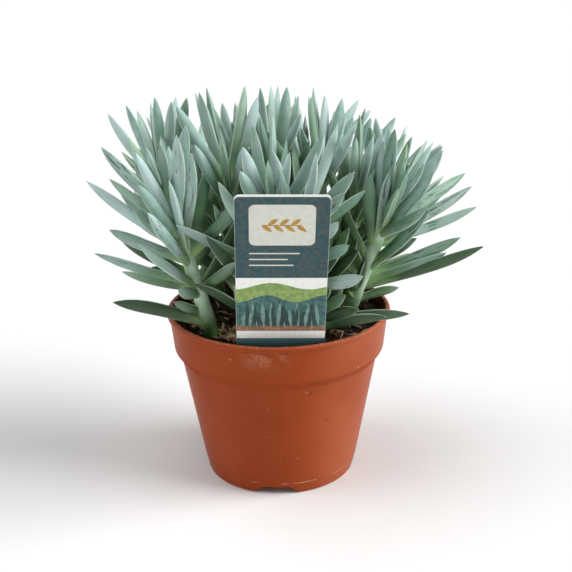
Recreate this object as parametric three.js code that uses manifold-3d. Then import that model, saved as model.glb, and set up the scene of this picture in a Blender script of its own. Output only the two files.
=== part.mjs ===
import * as THREE from 'three';
import { mergeVertices } from 'three/addons/utils/BufferGeometryUtils.js';
import Module from 'manifold-3d';

// Blue chalksticks in a plastic nursery pot, with a card label at the front.
// Millimetres, +Z up. The origin is the middle of the pot's underside, and the front looks along -Y.

const wasm = await Module();
wasm.setup();

// Driving dimensions of the pot, a trade pot of 13 cm over its rim
const potHeight = 100;
const rimRadius = 65;
const rimDepth = 3;
const rimSlope = 0.8;
const rimRound = 0.8;
const bandTopRadius = 63.5;
const bandFootRadius = 61.4;
const bandDepth = 22.7;
const ledgeDepth = 4.4;
const bodyTopRadius = 57.7;
const bodyFootRadius = 45.6;
const footRadius = 45.2;
const footHeight = 7.4;
const footStep = 0.5;
const baseRadius = 44;
const potWall = 1.2;
const innerRise = 0.5;
const potSides = 36;

// Channels under the base that lead water out, with a drain hole in each
const channelCount = 4;
const channelWidth = 15;
const channelFlare = 8.3;
const channelHeight = 4.7;
const channelStart = 22;
const channelTurn = THREE.MathUtils.degToRad(-94);
const drainHoleRadius = 4;
const drainHoleReach = 31;
const drainHoleSides = 10;

// How far a cutting body runs past the faces that it cuts
const cutBelow = 1;
const cutAbove = 10;

// Soil
const soilTop = 93.5;
const soilBumpHeight = 1.3;
const soilFlat = 2;
const soilRings = 3;
const soilSides = 24;
const soilInset = 0.75;
const meetingGap = 0.3;

// Label: a card on a pointed stick, leaning towards the front
const labelWidth = 47.3;
const labelHeight = 100.5;
const labelThickness = 0.7;
const labelCorner = 2.6;
const labelFootY = -52.5;
const labelFootZ = 95.4;
const labelX = 0.7;
const labelLean = THREE.MathUtils.degToRad(20);
const labelRoll = THREE.MathUtils.degToRad(1.3);
const stickWidth = 11;
const stickLength = 38;
const stickPoint = 9;
const slotGap = 0.5;

// Stems, from just above the soil to their tops, where they end in a bud
const stemFootRadius = 4.6;
const stemTopRadius = 3.6;
const stemDepthInSoil = 24;
const stemStart = soilTop + 3.5;
const stemBend = 0.45;
const stemRings = [0, 0.35, 0.7, 1];
const stemSides = 6;
const stemHoleGap = 0.7;
const budLength = 6;

// Leaves
const leafWidth = 7.2;
const leafThickness = 4.5;
const leafBow = 0.06;
const archedBelow = 0.13;
const leafBaseShare = 0.55;
const leafBaseThickness = 0.6;
const leafWidest = 0.52;
const leafTipCurve = 2.6;
const leafRings = [0, 0.3, 0.75];
const leafSides = 4;
const youngLength = 33;
const grownLength = 54;
const lowLength = 46;
const lowestLeaf = 0.07;
const shortestWidth = 0.75;
const fullWidthLength = 50;
const goldenAngle = THREE.MathUtils.degToRad(137.508);
const leanAtTop = 13;
const leanAtFoot = 54;
const upwardTurn = 0.12;

// Parting of leaves that would cross, with the rim and soil taken as floors inside and outside a radius
const leafPieces = 5;
const trunkPieces = 4;
const leafGap = 0.45;
const partingRounds = 70;
const narrowestLeaf = 0.72;
const seenEase = 0.01;
const footWeight = 60;
const pushShare = 0.6;
const longestPush = 3;
const leastLever = 0.35;
const rimInside = 54;

// Each stem's foot on the soil, its top, how many leaves it has, and the tips of its leaves that show at the front
const stems = [
  {
    name: 'leafy_stem_front_left',
    foot: [-38, -30],
    top: [-58, -42, 180],
    leaves: 33,
    seen: [
      [0.62, -100, -37, 186], [0.75, -88, -37, 187], [0.83, -91, -37, 204], [0.74, -81, -34, 193],
      [0.70, -69, -67, 191], [0.79, -70, -61, 206], [0.82, -68, -33, 203], [0.59, -55, -60, 189],
      [0.66, -43, -50, 203], [0.56, -34, -24, 191], [0.85, -47, -31, 207], [0.90, -56, -34, 203],
      [0.96, -62, -1, 202], [0.53, -90, -37, 159], [0.37, -99, -37, 146], [0.32, -88, -16, 128],
      [0.05, -89, -49, 122], [0.58, -74, -56, 177], [0.47, -26, 9, 161], [0.31, -22, -56, 146],
      [0.14, -57, -40, 118], [0.28, -53, -54, 130], [0.20, -22, -60, 113],
    ],
  },
  {
    name: 'leafy_stem_front_centre',
    foot: [-8, -34],
    top: [-2, -45, 163],
    leaves: 22,
    seen: [
      [1.00, -12, -35, 214], [1.00, -18, -70, 198], [1.00, -4, -65, 202], [1.00, 7, -61, 205],
      [0.63, -53, -50, 166], [1.00, -16, -66, 209], [1.00, -1, -34, 219], [1.00, 6, -36, 206],
      [1.00, 24, -62, 214],
    ],
  },
  {
    name: 'leafy_stem_front_right',
    foot: [20, -32],
    top: [13, -45, 163],
    leaves: 24,
    seen: [
      [1.00, 20, -72, 207], [1.00, 33, -36, 214], [1.00, 30, -7, 200], [1.00, 39, -68, 196],
      [0.89, 47, -40, 179], [0.66, 37, -68, 158], [0.96, 34, -71, 186], [0.77, 31, -67, 170],
      [0.12, 28, -48, 131], [1.00, 9, -3, 200], [0.05, 70, -56, 115], [0.00, 57, -59, 115],
      [0.07, 43, -51, 116], [0.17, 36, -50, 124],
    ],
  },
  {
    name: 'leafy_stem_right',
    foot: [41, -4],
    top: [64, -28, 170],
    leaves: 33,
    seen: [
      [0.69, 60, -42, 191], [0.59, 50, -34, 186], [0.89, 87, 9, 194], [0.89, 85, -20, 200],
      [0.82, 87, -40, 200], [0.70, 82, -45, 191], [0.71, 95, 6, 175], [0.78, 106, 0, 178],
      [0.66, 104, -35, 179], [0.62, 113, -5, 159], [0.40, 81, -40, 168], [0.33, 104, -8, 142],
      [0.29, 78, 14, 125], [0.28, 96, -12, 134], [0.24, 117, -16, 136], [0.10, 69, -5, 114],
      [0.47, 29, -25, 189], [0.18, 49, -23, 136], [0.21, 41, -19, 121], [0.95, 85, 22, 189],
    ],
  },
  {
    name: 'leafy_stem_left',
    foot: [-44, 4],
    top: [-65, 4, 174],
    leaves: 23,
    seen: [
      [1.00, -77, 10, 214], [1.00, -86, 32, 213], [1.00, -93, 7, 213], [1.00, -67, 12, 221],
      [1.00, -72, 34, 214], [1.00, -58, -7, 222], [1.00, -56, 24, 219], [1.00, -49, 14, 220],
      [0.91, -91, 36, 185], [0.88, -98, 27, 182],
    ],
  },
  {
    name: 'leafy_stem_centre_left',
    foot: [-20, -10],
    top: [-27, -12, 177],
    leaves: 24,
    seen: [
      [0.84, -47, -41, 204], [1.00, -52, -25, 223], [1.00, -41, -4, 226], [1.00, -38, 13, 226],
      [1.00, -44, 9, 224], [0.77, -29, -29, 211], [0.89, -28, -36, 206], [1.00, -16, -3, 229],
      [1.00, -21, 19, 215], [1.00, -9, -4, 223], [0.87, -17, -38, 203], [0.95, -43, 11, 219],
    ],
  },
  {
    name: 'leafy_stem_centre',
    foot: [1, 0],
    top: [-2, 2, 181],
    leaves: 23,
    seen: [
      [1.00, -8, 9, 226], [1.00, -2, 32, 223], [1.00, 2, 43, 221], [1.00, 7, 9, 226],
      [0.99, 15, -18, 216], [0.93, -8, -25, 217], [1.00, 14, 32, 217],
    ],
  },
  {
    name: 'leafy_stem_centre_right',
    foot: [21, -8],
    top: [25, -8, 178],
    leaves: 23,
    seen: [
      [1.00, 22, 25, 223], [1.00, 20, 39, 215], [1.00, 22, -12, 224], [1.00, 28, 15, 220],
      [1.00, 28, 0, 222], [1.00, 37, -1, 221], [1.00, 30, -34, 220], [1.00, 43, -3, 211],
      [0.95, 14, -1, 205], [0.97, 37, -49, 215],
    ],
  },
  {
    name: 'leafy_stem_right_middle',
    foot: [33, 14],
    top: [47, -4, 170],
    leaves: 23,
    seen: [
      [0.85, 36, -19, 205], [0.82, 44, -30, 204], [0.90, 48, 6, 202], [1.00, 47, 4, 211],
      [0.91, 52, -25, 205],
    ],
  },
  {
    name: 'leafy_stem_right_back',
    foot: [41, 25],
    top: [66, 20, 166],
    leaves: 21,
    seen: [
      [1.00, 58, 28, 204], [0.96, 53, 3, 204], [0.97, 66, 27, 199], [0.98, 80, 59, 193],
      [0.89, 57, -3, 189], [0.87, 72, -6, 190], [0.88, 89, 56, 181],
    ],
  },
  { name: 'leafy_stem_back_left', foot: [-36, 32], top: [-56, 52, 168], leaves: 20, seen: [] },
  { name: 'leafy_stem_back_centre_left', foot: [-14, 26], top: [-22, 38, 176], leaves: 20, seen: [] },
  {
    name: 'leafy_stem_back_centre_right',
    foot: [14, 30],
    top: [20, 42, 174],
    leaves: 20,
    seen: [[0.99, 61, 78, 199], [0.99, 52, 75, 206]],
  },
  { name: 'leafy_stem_back_right', foot: [29, 39], top: [46, 66, 164], leaves: 20, seen: [] },
  { name: 'leafy_stem_back', foot: [-4, 47], top: [-8, 76, 164], leaves: 20, seen: [] },
];

// Seeded draw, the same on every run
const drawModulus = 2147483647;
const drawFactor = 48271;
let drawState = 20517;

function draw(low, high) {
  drawState = (drawState * drawFactor) % drawModulus;
  return low + ((high - low) * drawState) / drawModulus;
}

function clamp(value, low, high) {
  return Math.min(Math.max(value, low), high);
}

// Solids from geometries and back

function geometryFrom(points, triangles) {
  const geometry = new THREE.BufferGeometry();
  geometry.setAttribute('position', new THREE.Float32BufferAttribute(points, 3));
  geometry.setIndex(triangles);
  return geometry;
}

function solidFrom(geometry) {
  const plain = geometry.clone();
  plain.deleteAttribute('normal');
  plain.deleteAttribute('uv');
  const merged = mergeVertices(plain, 1e-4);
  const vertProperties = new Float32Array(merged.attributes.position.array);
  const triVerts = new Uint32Array(merged.index.array);
  return new wasm.Manifold(new wasm.Mesh({ numProp: 3, vertProperties, triVerts }));
}

// The triangles of the largest shell. Where leaves meet they can seal a small hollow, which is filled by leaving
// its shell out.
function largestShell(triangles, pointCount) {
  const shellOf = Array.from({ length: pointCount }, (_, i) => i);
  const root = (i) => {
    while (shellOf[i] !== i) {
      shellOf[i] = shellOf[shellOf[i]];
      i = shellOf[i];
    }
    return i;
  };
  for (let i = 0; i < triangles.length; i += 3) {
    shellOf[root(triangles[i + 1])] = root(triangles[i]);
    shellOf[root(triangles[i + 2])] = root(triangles[i]);
  }
  const sizes = new Map();
  for (const corner of triangles) {
    sizes.set(root(corner), (sizes.get(root(corner)) ?? 0) + 1);
  }
  const [largest] = [...sizes.entries()].reduce((a, b) => (b[1] > a[1] ? b : a));
  return triangles.filter((corner) => root(corner) === largest);
}

function meshFrom(solid, name, material) {
  const { vertProperties, triVerts } = solid.getMesh();
  const shell = largestShell(Array.from(triVerts), vertProperties.length / 3);
  const geometry = mergeVertices(geometryFrom(Array.from(vertProperties), shell), 1e-5);
  geometry.computeVertexNormals();
  const mesh = new THREE.Mesh(geometry, material);
  mesh.name = name;
  return mesh;
}

// A turned body about the Z axis, from [radius, height] points that start and end on the axis
function turned(profile, sides) {
  const geometry = new THREE.LatheGeometry(profile.map(([r, z]) => new THREE.Vector2(r, z)), sides);
  return geometry.rotateX(Math.PI / 2);
}

// An upright prism with its foot at the given point
function uprightPrism(radius, height, sides, x, y, z) {
  const geometry = new THREE.CylinderGeometry(radius, radius, height, sides);
  return geometry.rotateX(Math.PI / 2).rotateZ(Math.PI / 2).translate(x, y, z + height / 2);
}

// Pot

const potProfile = [
  [0, 0],
  [baseRadius, 0],
  [footRadius, footHeight - footStep],
  [bodyFootRadius, footHeight],
  [bodyTopRadius, potHeight - bandDepth - ledgeDepth],
  [bandFootRadius, potHeight - bandDepth],
  [bandTopRadius, potHeight - rimDepth],
  [rimRadius, potHeight - rimDepth + rimSlope],
  [rimRadius, potHeight - rimRound],
  [rimRadius - rimRound, potHeight],
  [bandTopRadius - potWall, potHeight],
  [bandFootRadius - potWall, potHeight - bandDepth + innerRise],
  [bodyTopRadius - potWall, potHeight - bandDepth - ledgeDepth + innerRise],
  [bodyFootRadius - potWall, footHeight + innerRise],
  [baseRadius - potWall, potWall],
  [0, potWall],
];

// A channel's outline is flat on top with flared sides. It runs outwards along the underside.
function channel(grow, start, end) {
  const top = channelWidth / 2 + grow;
  const foot = top + channelFlare;
  const outline = new THREE.Shape();
  outline.moveTo(-foot, -cutBelow);
  outline.lineTo(foot, -cutBelow);
  outline.lineTo(top, channelHeight + grow);
  outline.lineTo(-top, channelHeight + grow);
  outline.closePath();
  const geometry = new THREE.ExtrudeGeometry(outline, { depth: end - start, bevelEnabled: false });
  geometry.rotateX(Math.PI / 2).rotateZ(Math.PI);
  return geometry.translate(0, start, 0).rotateZ(-Math.PI / 2);
}

function channels(grow, start, end) {
  const all = [];
  for (let i = 0; i < channelCount; i += 1) {
    const turn = channelTurn + (i * 2 * Math.PI) / channelCount;
    all.push(solidFrom(channel(grow, start, end).rotateZ(turn)));
  }
  return all;
}

// Up to the middle of the wall and the base, where the channels' roofs end
const insideProfile = [
  [0, potWall / 2],
  [baseRadius - potWall / 2, potWall / 2],
  [bodyFootRadius - potWall / 2, footHeight + innerRise],
  [0, footHeight + innerRise],
];

function makePot() {
  let pot = solidFrom(turned(potProfile, potSides));
  const inside = solidFrom(turned(insideProfile, potSides));
  for (const roof of channels(potWall, channelStart - potWall, baseRadius)) {
    pot = pot.add(roof.intersect(inside));
  }
  for (const cut of channels(0, channelStart, rimRadius)) {
    pot = pot.subtract(cut);
  }
  for (let i = 0; i < channelCount; i += 1) {
    const turn = channelTurn + (i * 2 * Math.PI) / channelCount;
    const x = drainHoleReach * Math.cos(turn);
    const y = drainHoleReach * Math.sin(turn);
    pot = pot.subtract(solidFrom(uprightPrism(drainHoleRadius, cutAbove, drainHoleSides, x, y, -cutBelow)));
  }
  return pot;
}

// Label, with its outline upright in its own plane: X across and Y up from the foot of the card

function labelOutline(grow) {
  const half = labelWidth / 2;
  const stick = stickWidth / 2 + grow;
  const outline = new THREE.Shape();
  outline.moveTo(0, -stickLength - grow);
  outline.lineTo(stick, stickPoint - stickLength);
  outline.lineTo(stick, 0);
  outline.lineTo(half - labelCorner, 0);
  outline.quadraticCurveTo(half, 0, half, labelCorner);
  outline.lineTo(half, labelHeight - labelCorner);
  outline.quadraticCurveTo(half, labelHeight, half - labelCorner, labelHeight);
  outline.lineTo(labelCorner - half, labelHeight);
  outline.quadraticCurveTo(-half, labelHeight, -half, labelHeight - labelCorner);
  outline.lineTo(-half, labelCorner);
  outline.quadraticCurveTo(-half, 0, labelCorner - half, 0);
  outline.lineTo(-stick, 0);
  outline.lineTo(-stick, stickPoint - stickLength);
  outline.closePath();
  return outline;
}

function stickOutline(grow) {
  const stick = stickWidth / 2 + grow;
  const outline = new THREE.Shape();
  outline.moveTo(0, -stickLength - 2 * grow);
  outline.lineTo(stick, stickPoint - stickLength);
  outline.lineTo(stick, stickPoint);
  outline.lineTo(-stick, stickPoint);
  outline.lineTo(-stick, stickPoint - stickLength);
  outline.closePath();
  return outline;
}

function leaningPlate(outline, thickness) {
  const settings = { depth: thickness, bevelEnabled: false, curveSegments: 3 };
  const geometry = new THREE.ExtrudeGeometry(outline, settings);
  geometry.translate(0, 0, -thickness / 2).rotateZ(-labelRoll);
  return geometry.rotateX(Math.PI / 2 + labelLean).translate(labelX, labelFootY, labelFootZ);
}

// Stems and leaves as lines, before they get a body

const stemLines = stems.map((stem) => {
  const foot = new THREE.Vector3(stem.foot[0], stem.foot[1], stemStart);
  const top = new THREE.Vector3(...stem.top);
  const bend = foot.clone().lerp(top, stemBend);
  bend.z = (foot.z + top.z) / 2;
  return { foot, bend, top };
});

function stemPoint({ foot, bend, top }, t) {
  const point = foot.clone().multiplyScalar((1 - t) ** 2);
  return point.addScaledVector(bend, 2 * t * (1 - t)).addScaledVector(top, t * t);
}

function stemDirection({ foot, bend, top }, t) {
  const direction = bend.clone().sub(foot).multiplyScalar(1 - t);
  return direction.addScaledVector(top.clone().sub(bend), t).normalize();
}

function stemRadius(t) {
  return stemFootRadius + (stemTopRadius - stemFootRadius) * t;
}

function acrossStem(direction) {
  const first = new THREE.Vector3(0, 1, 0).cross(direction).normalize();
  const second = direction.clone().cross(first);
  return [first, second];
}

// Leaves by the rule: the golden angle from one to the next, close together and upright at the top of the
// stem, wider apart and more level towards its foot

function ruleLength(share) {
  const grown = clamp(share / 0.22, 0, 1);
  const fading = clamp((share - 0.75) / 0.25, 0, 1);
  return youngLength + (grownLength - youngLength) * grown - (grownLength - lowLength) * fading;
}

function leavesOf(stem, line, stemIndex) {
  const leaves = [];
  const turn = draw(0, 2 * Math.PI);
  for (let i = 0; i < stem.leaves; i += 1) {
    const share = i / (stem.leaves - 1);
    const t = 1 - (1 - lowestLeaf) * share ** 1.2;
    const angle = turn + i * goldenAngle + draw(-0.2, 0.2);
    const lean = THREE.MathUtils.degToRad(leanAtTop + (leanAtFoot - leanAtTop) * share ** 0.7 + draw(-6, 6));
    const length = ruleLength(share) + draw(-4, 4);
    const twist = draw(-0.5, 0.5);
    const size = draw(0.92, 1.06);
    const grow = stemDirection(line, t);
    const [first, second] = acrossStem(grow);
    const outward = first.multiplyScalar(Math.cos(angle)).addScaledVector(second, Math.sin(angle));
    const direction = grow.clone().multiplyScalar(Math.cos(lean)).addScaledVector(outward, Math.sin(lean));
    direction.z += upwardTurn;
    direction.normalize();
    const foot = stemPoint(line, t);
    const tip = foot.clone().addScaledVector(direction, length);
    leaves.push({ stemIndex, t, grow, outward, foot, tip, length, twist, size, ease: 1, kept: true });
  }
  takeSeenTips(stem, line, leaves);
  return leaves;
}

// Each tip seen at the front goes to the free leaf of its stem that suits it best
function takeSeenTips(stem, line, leaves) {
  const taken = new Set();
  for (const [share, ...place] of stem.seen) {
    const seen = new THREE.Vector3(...place);
    let best = null;
    let least = Infinity;
    for (const leaf of leaves) {
      const cost = leaf.tip.distanceTo(seen) + footWeight * Math.abs(leaf.t - share);
      if (!taken.has(leaf) && cost < least) {
        least = cost;
        best = leaf;
      }
    }
    taken.add(best);
    best.t = share;
    best.foot = stemPoint(line, share);
    best.grow = stemDirection(line, share);
    best.tip = seen;
    best.seen = seen.clone();
    best.length = seen.distanceTo(best.foot);
    best.ease = seenEase;
    const chord = seen.clone().sub(best.foot);
    best.outward = chord.addScaledVector(best.grow, -chord.dot(best.grow)).normalize();
  }
}

// A leaf's line bows from its foot to its tip. Its section is wide towards the stem's tip and flat across.
function shapeLeaf(leaf) {
  const chord = leaf.tip.clone().sub(leaf.foot);
  const along = chord.clone().normalize();
  const hint = leaf.grow.clone().addScaledVector(leaf.outward, -0.5);
  const wide = hint.addScaledVector(along, -hint.dot(along)).normalize();
  const bow = leaf.t < archedBelow ? -leafBow : leafBow;
  leaf.middle = leaf.foot.clone().addScaledVector(chord, 0.5).addScaledVector(wide, -bow * leaf.length);
  const side = along.clone().cross(wide);
  leaf.wide = wide.multiplyScalar(Math.cos(leaf.twist)).addScaledVector(side, Math.sin(leaf.twist));
  leaf.flat = along.clone().cross(leaf.wide);
  leaf.points = [];
  for (let i = 0; i <= leafPieces; i += 1) {
    leaf.points.push(leafPoint(leaf, i / leafPieces));
  }
}

function leafPoint({ foot, middle, tip }, s) {
  const point = foot.clone().multiplyScalar((1 - s) ** 2);
  return point.addScaledVector(middle, 2 * s * (1 - s)).addScaledVector(tip, s * s);
}

// How much of its full width or thickness a leaf has at s, from its foot at 0 to its tip at 1
function leafShare(s, baseShare) {
  if (s < leafWidest) {
    return baseShare + (1 - baseShare) * Math.sin((Math.PI / 2) * (s / leafWidest));
  }
  return 1 - ((s - leafWidest) / (1 - leafWidest)) ** leafTipCurve;
}

function halfWidth(leaf, s) {
  const shortness = shortestWidth + (1 - shortestWidth) * Math.min(1, leaf.length / fullWidthLength);
  return (leafWidth / 2) * shortness * leaf.size * leafShare(s, leafBaseShare);
}

function halfThickness(leaf, s) {
  return (leafThickness / 2) * leaf.size * leafShare(s, leafBaseThickness);
}

// How far the leaf reaches from its line at s in the direction given
function reach(leaf, s, direction) {
  const across = halfWidth(leaf, s) * direction.dot(leaf.wide);
  const through = halfThickness(leaf, s) * direction.dot(leaf.flat);
  return Math.hypot(across, through);
}

// Nearest points of two pieces of line: shares along them, the distance and the direction from second to first
function nearest(a0, a1, b0, b1) {
  const first = a1.clone().sub(a0);
  const second = b1.clone().sub(b0);
  const between = a0.clone().sub(b0);
  const a = first.dot(first);
  const e = second.dot(second);
  const b = first.dot(second);
  const c = first.dot(between);
  const f = second.dot(between);
  const bottom = a * e - b * b;
  let s = bottom > 1e-9 ? clamp((b * f - c * e) / bottom, 0, 1) : 0;
  let t = (b * s + f) / e;
  if (t < 0) {
    t = 0;
    s = clamp(-c / a, 0, 1);
  } else if (t > 1) {
    t = 1;
    s = clamp((b - c) / a, 0, 1);
  }
  const apart = between.addScaledVector(first, s).addScaledVector(second, -t);
  const distance = apart.length();
  return { s, t, distance, direction: apart.divideScalar(Math.max(distance, 1e-6)) };
}

// The deepest crossing of two leaves: how much too near they are, where, and which way they part
function crossing(one, other, firstPiece, gap) {
  let worst = null;
  for (let i = firstPiece; i < leafPieces; i += 1) {
    for (let j = firstPiece; j < leafPieces; j += 1) {
      const near = nearest(one.points[i], one.points[i + 1], other.points[j], other.points[j + 1]);
      const s = (i + near.s) / leafPieces;
      const t = (j + near.t) / leafPieces;
      const bodies = reach(one, s, near.direction) + reach(other, t, near.direction);
      const excess = bodies + gap - near.distance;
      if (!worst || excess > worst.excess) {
        worst = { excess, s, t, direction: near.direction, bodies, distance: near.distance };
      }
    }
  }
  return worst;
}

// Fixed things that a leaf keeps clear of: other stems, the soil and rim below, and the label in front
const trunkLines = stemLines.map((line) => {
  const points = [];
  for (let i = 0; i <= trunkPieces; i += 1) {
    points.push(stemPoint(line, i / trunkPieces));
  }
  return points;
});
const labelBack = new THREE.Vector3(0, Math.cos(labelLean), Math.sin(labelLean));
const labelUp = new THREE.Vector3(0, -Math.sin(labelLean), Math.cos(labelLean));
labelUp.applyAxisAngle(labelBack, labelRoll);
const labelAcross = new THREE.Vector3(1, 0, 0).applyAxisAngle(labelBack, labelRoll);
const labelFoot = new THREE.Vector3(labelX, labelFootY, labelFootZ);

function trunkCrossing(leaf, trunk) {
  let worst = null;
  for (let i = 0; i < leafPieces; i += 1) {
    for (let j = 0; j < trunkPieces; j += 1) {
      const near = nearest(leaf.points[i], leaf.points[i + 1], trunk[j], trunk[j + 1]);
      const s = (i + near.s) / leafPieces;
      const fixed = stemRadius((j + near.t) / trunkPieces) + leafGap;
      const body = reach(leaf, s, near.direction);
      const excess = body + fixed - near.distance;
      if (!worst || excess > worst.excess) {
        worst = { excess, s, direction: near.direction, body, room: near.distance - fixed };
      }
    }
  }
  return worst;
}

function surfaceCrossings(leaf) {
  const found = [];
  const up = new THREE.Vector3(0, 0, 1);
  for (let i = 1; i <= leafPieces; i += 1) {
    const s = i / leafPieces;
    const point = leaf.points[i];
    const floor = Math.hypot(point.x, point.y) < rimInside ? soilTop + soilBumpHeight : potHeight;
    const room = point.z - floor - leafGap;
    const body = reach(leaf, s, up);
    found.push({ excess: body - room, s, direction: up, body, room });
    const fromLabel = point.clone().sub(labelFoot);
    const sideways = Math.abs(fromLabel.dot(labelAcross)) - labelWidth / 2 - leafWidth / 2;
    if (sideways < 0 && fromLabel.dot(labelUp) < labelHeight + leafWidth / 2) {
      const behind = fromLabel.dot(labelBack) - labelThickness / 2 - leafGap;
      const thick = reach(leaf, s, labelBack);
      found.push({ excess: thick - behind, s, direction: labelBack, body: thick, room: behind });
    }
  }
  return found;
}

// Parting: in each round, leaves that are too near push each other's tips apart, at an unchanged length
function mayMeet(one, other) {
  const span = (one.length + other.length) / 2 + leafWidth;
  return one.points[2].distanceToSquared(other.points[2]) < span * span;
}

function partLeaves(leaves) {
  for (let round = 0; round < partingRounds; round += 1) {
    leaves.forEach(shapeLeaf);
    const pushes = leaves.map(() => new THREE.Vector3());
    for (let i = 0; i < leaves.length; i += 1) {
      for (let j = i + 1; j < leaves.length; j += 1) {
        pushApart(leaves[i], leaves[j], pushes[i], pushes[j]);
      }
      for (let k = 0; k < stems.length; k += 1) {
        if (k !== leaves[i].stemIndex) {
          pushAway(leaves[i], trunkCrossing(leaves[i], trunkLines[k]), pushes[i]);
        }
      }
      for (const found of surfaceCrossings(leaves[i])) {
        pushAway(leaves[i], found, pushes[i]);
      }
    }
    leaves.forEach((leaf, i) => {
      const push = pushes[i].multiplyScalar(pushShare).clampLength(0, longestPush);
      const chord = leaf.tip.clone().add(push).sub(leaf.foot).setLength(leaf.length);
      leaf.tip = leaf.foot.clone().add(chord);
    });
  }
  leaves.forEach(shapeLeaf);
}

function pushApart(one, other, pushOne, pushOther) {
  if (!mayMeet(one, other)) {
    return;
  }
  const same = one.stemIndex === other.stemIndex;
  if (same && one.seen && other.seen) {
    return;
  }
  const firstPiece = same ? 1 : 0;
  const found = crossing(one, other, firstPiece, same ? 0 : leafGap);
  if (found.excess <= 0) {
    return;
  }
  const share = one.ease / (one.ease + other.ease);
  pushOne.addScaledVector(found.direction, (found.excess * share) / Math.max(found.s, leastLever));
  pushOther.addScaledVector(found.direction, (-found.excess * (1 - share)) / Math.max(found.t, leastLever));
}

function pushAway(leaf, found, push) {
  if (found.excess > 0) {
    push.addScaledVector(found.direction, found.excess / Math.max(found.s, leastLever));
  }
}

// What still crosses is narrowed, and left out where it would become too narrow
function narrowLeaves(leaves) {
  const meetings = [];
  for (let i = 0; i < leaves.length; i += 1) {
    for (let j = i + 1; j < leaves.length; j += 1) {
      if (leaves[i].stemIndex !== leaves[j].stemIndex && mayMeet(leaves[i], leaves[j])) {
        const found = crossing(leaves[i], leaves[j], 0, leafGap);
        if (found.excess > 0) {
          const loser = leaves[i].ease < leaves[j].ease ? leaves[j] : leaves[i];
          const scale = (found.distance - leafGap) / found.bodies;
          meetings.push({ pair: [leaves[i], leaves[j]], loser, scale });
        }
      }
    }
    const fixed = surfaceCrossings(leaves[i]);
    for (let k = 0; k < stems.length; k += 1) {
      if (k !== leaves[i].stemIndex) {
        fixed.push(trunkCrossing(leaves[i], trunkLines[k]));
      }
    }
    for (const found of fixed.filter(({ excess }) => excess > 0)) {
      meetings.push({ pair: [leaves[i]], loser: leaves[i], scale: found.room / found.body });
    }
  }
  meetings.sort((a, b) => a.scale - b.scale);
  for (const { pair, loser, scale } of meetings) {
    if (scale < narrowestLeaf && pair.every((leaf) => leaf.kept)) {
      loser.kept = false;
    }
  }
  for (const { pair, scale } of meetings) {
    if (pair.every((leaf) => leaf.kept)) {
      for (const leaf of pair) {
        leaf.narrowing = Math.min(leaf.narrowing ?? 1, scale);
      }
    }
  }
  for (const leaf of leaves) {
    leaf.size *= leaf.narrowing ?? 1;
  }
}

// Bodies of stems and leaves

function ringBody(rings, lastPoint) {
  const points = [];
  const triangles = [];
  const sides = rings[0].length;
  for (const ring of rings) {
    for (const point of ring) {
      points.push(point.x, point.y, point.z);
    }
  }
  for (let i = 1; i < sides - 1; i += 1) {
    triangles.push(0, i + 1, i);
  }
  for (let r = 0; r < rings.length - 1; r += 1) {
    for (let i = 0; i < sides; i += 1) {
      const next = (i + 1) % sides;
      const low = r * sides;
      const high = low + sides;
      triangles.push(low + i, low + next, high + next);
      triangles.push(low + i, high + next, high + i);
    }
  }
  const last = (rings.length - 1) * sides;
  points.push(lastPoint.x, lastPoint.y, lastPoint.z);
  for (let i = 0; i < sides; i += 1) {
    triangles.push(last + i, last + ((i + 1) % sides), rings.length * sides);
  }
  return geometryFrom(points, triangles);
}

function ringAt(centre, first, second, sides) {
  const ring = [];
  for (let i = 0; i < sides; i += 1) {
    const angle = (i * 2 * Math.PI) / sides;
    ring.push(centre.clone().addScaledVector(first, Math.cos(angle)).addScaledVector(second, Math.sin(angle)));
  }
  return ring;
}

function leafBody(leaf) {
  const rings = leafRings.map((s) => {
    const first = leaf.wide.clone().multiplyScalar(halfWidth(leaf, s));
    const second = leaf.flat.clone().multiplyScalar(halfThickness(leaf, s));
    return ringAt(leafPoint(leaf, s), first, second, leafSides);
  });
  return ringBody(rings, leaf.tip);
}

function stemBody(line) {
  const sunk = line.foot.clone();
  sunk.z = soilTop - stemDepthInSoil;
  const alongX = new THREE.Vector3(stemFootRadius, 0, 0);
  const alongY = new THREE.Vector3(0, stemFootRadius, 0);
  const rings = [ringAt(sunk, alongX, alongY, stemSides), ringAt(line.foot, alongX, alongY, stemSides)];
  for (const t of stemRings.slice(1)) {
    const [first, second] = acrossStem(stemDirection(line, t));
    first.multiplyScalar(stemRadius(t));
    second.multiplyScalar(stemRadius(t));
    rings.push(ringAt(stemPoint(line, t), first, second, stemSides));
  }
  return ringBody(rings, line.top.clone().addScaledVector(stemDirection(line, 1), budLength));
}

function makeLeafyStem(line, leaves) {
  let solid = solidFrom(stemBody(line));
  for (const leaf of leaves) {
    solid = solid.add(solidFrom(leafBody(leaf)));
  }
  return solid;
}

// Soil: fills the pot up to a bumpy top, with a plain hole for each stem and a slot for the label's stick

// Two sets of low waves, the second one slanting and lower
function soilBump(x, y) {
  const slantShare = 0.6;
  const straight = Math.sin(0.31 * x + 0.7) * Math.cos(0.27 * y - 0.4);
  const slanting = Math.sin(0.17 * (x + y) + 2);
  return (soilBumpHeight * (straight + slantShare * slanting)) / (1 + slantShare);
}

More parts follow.
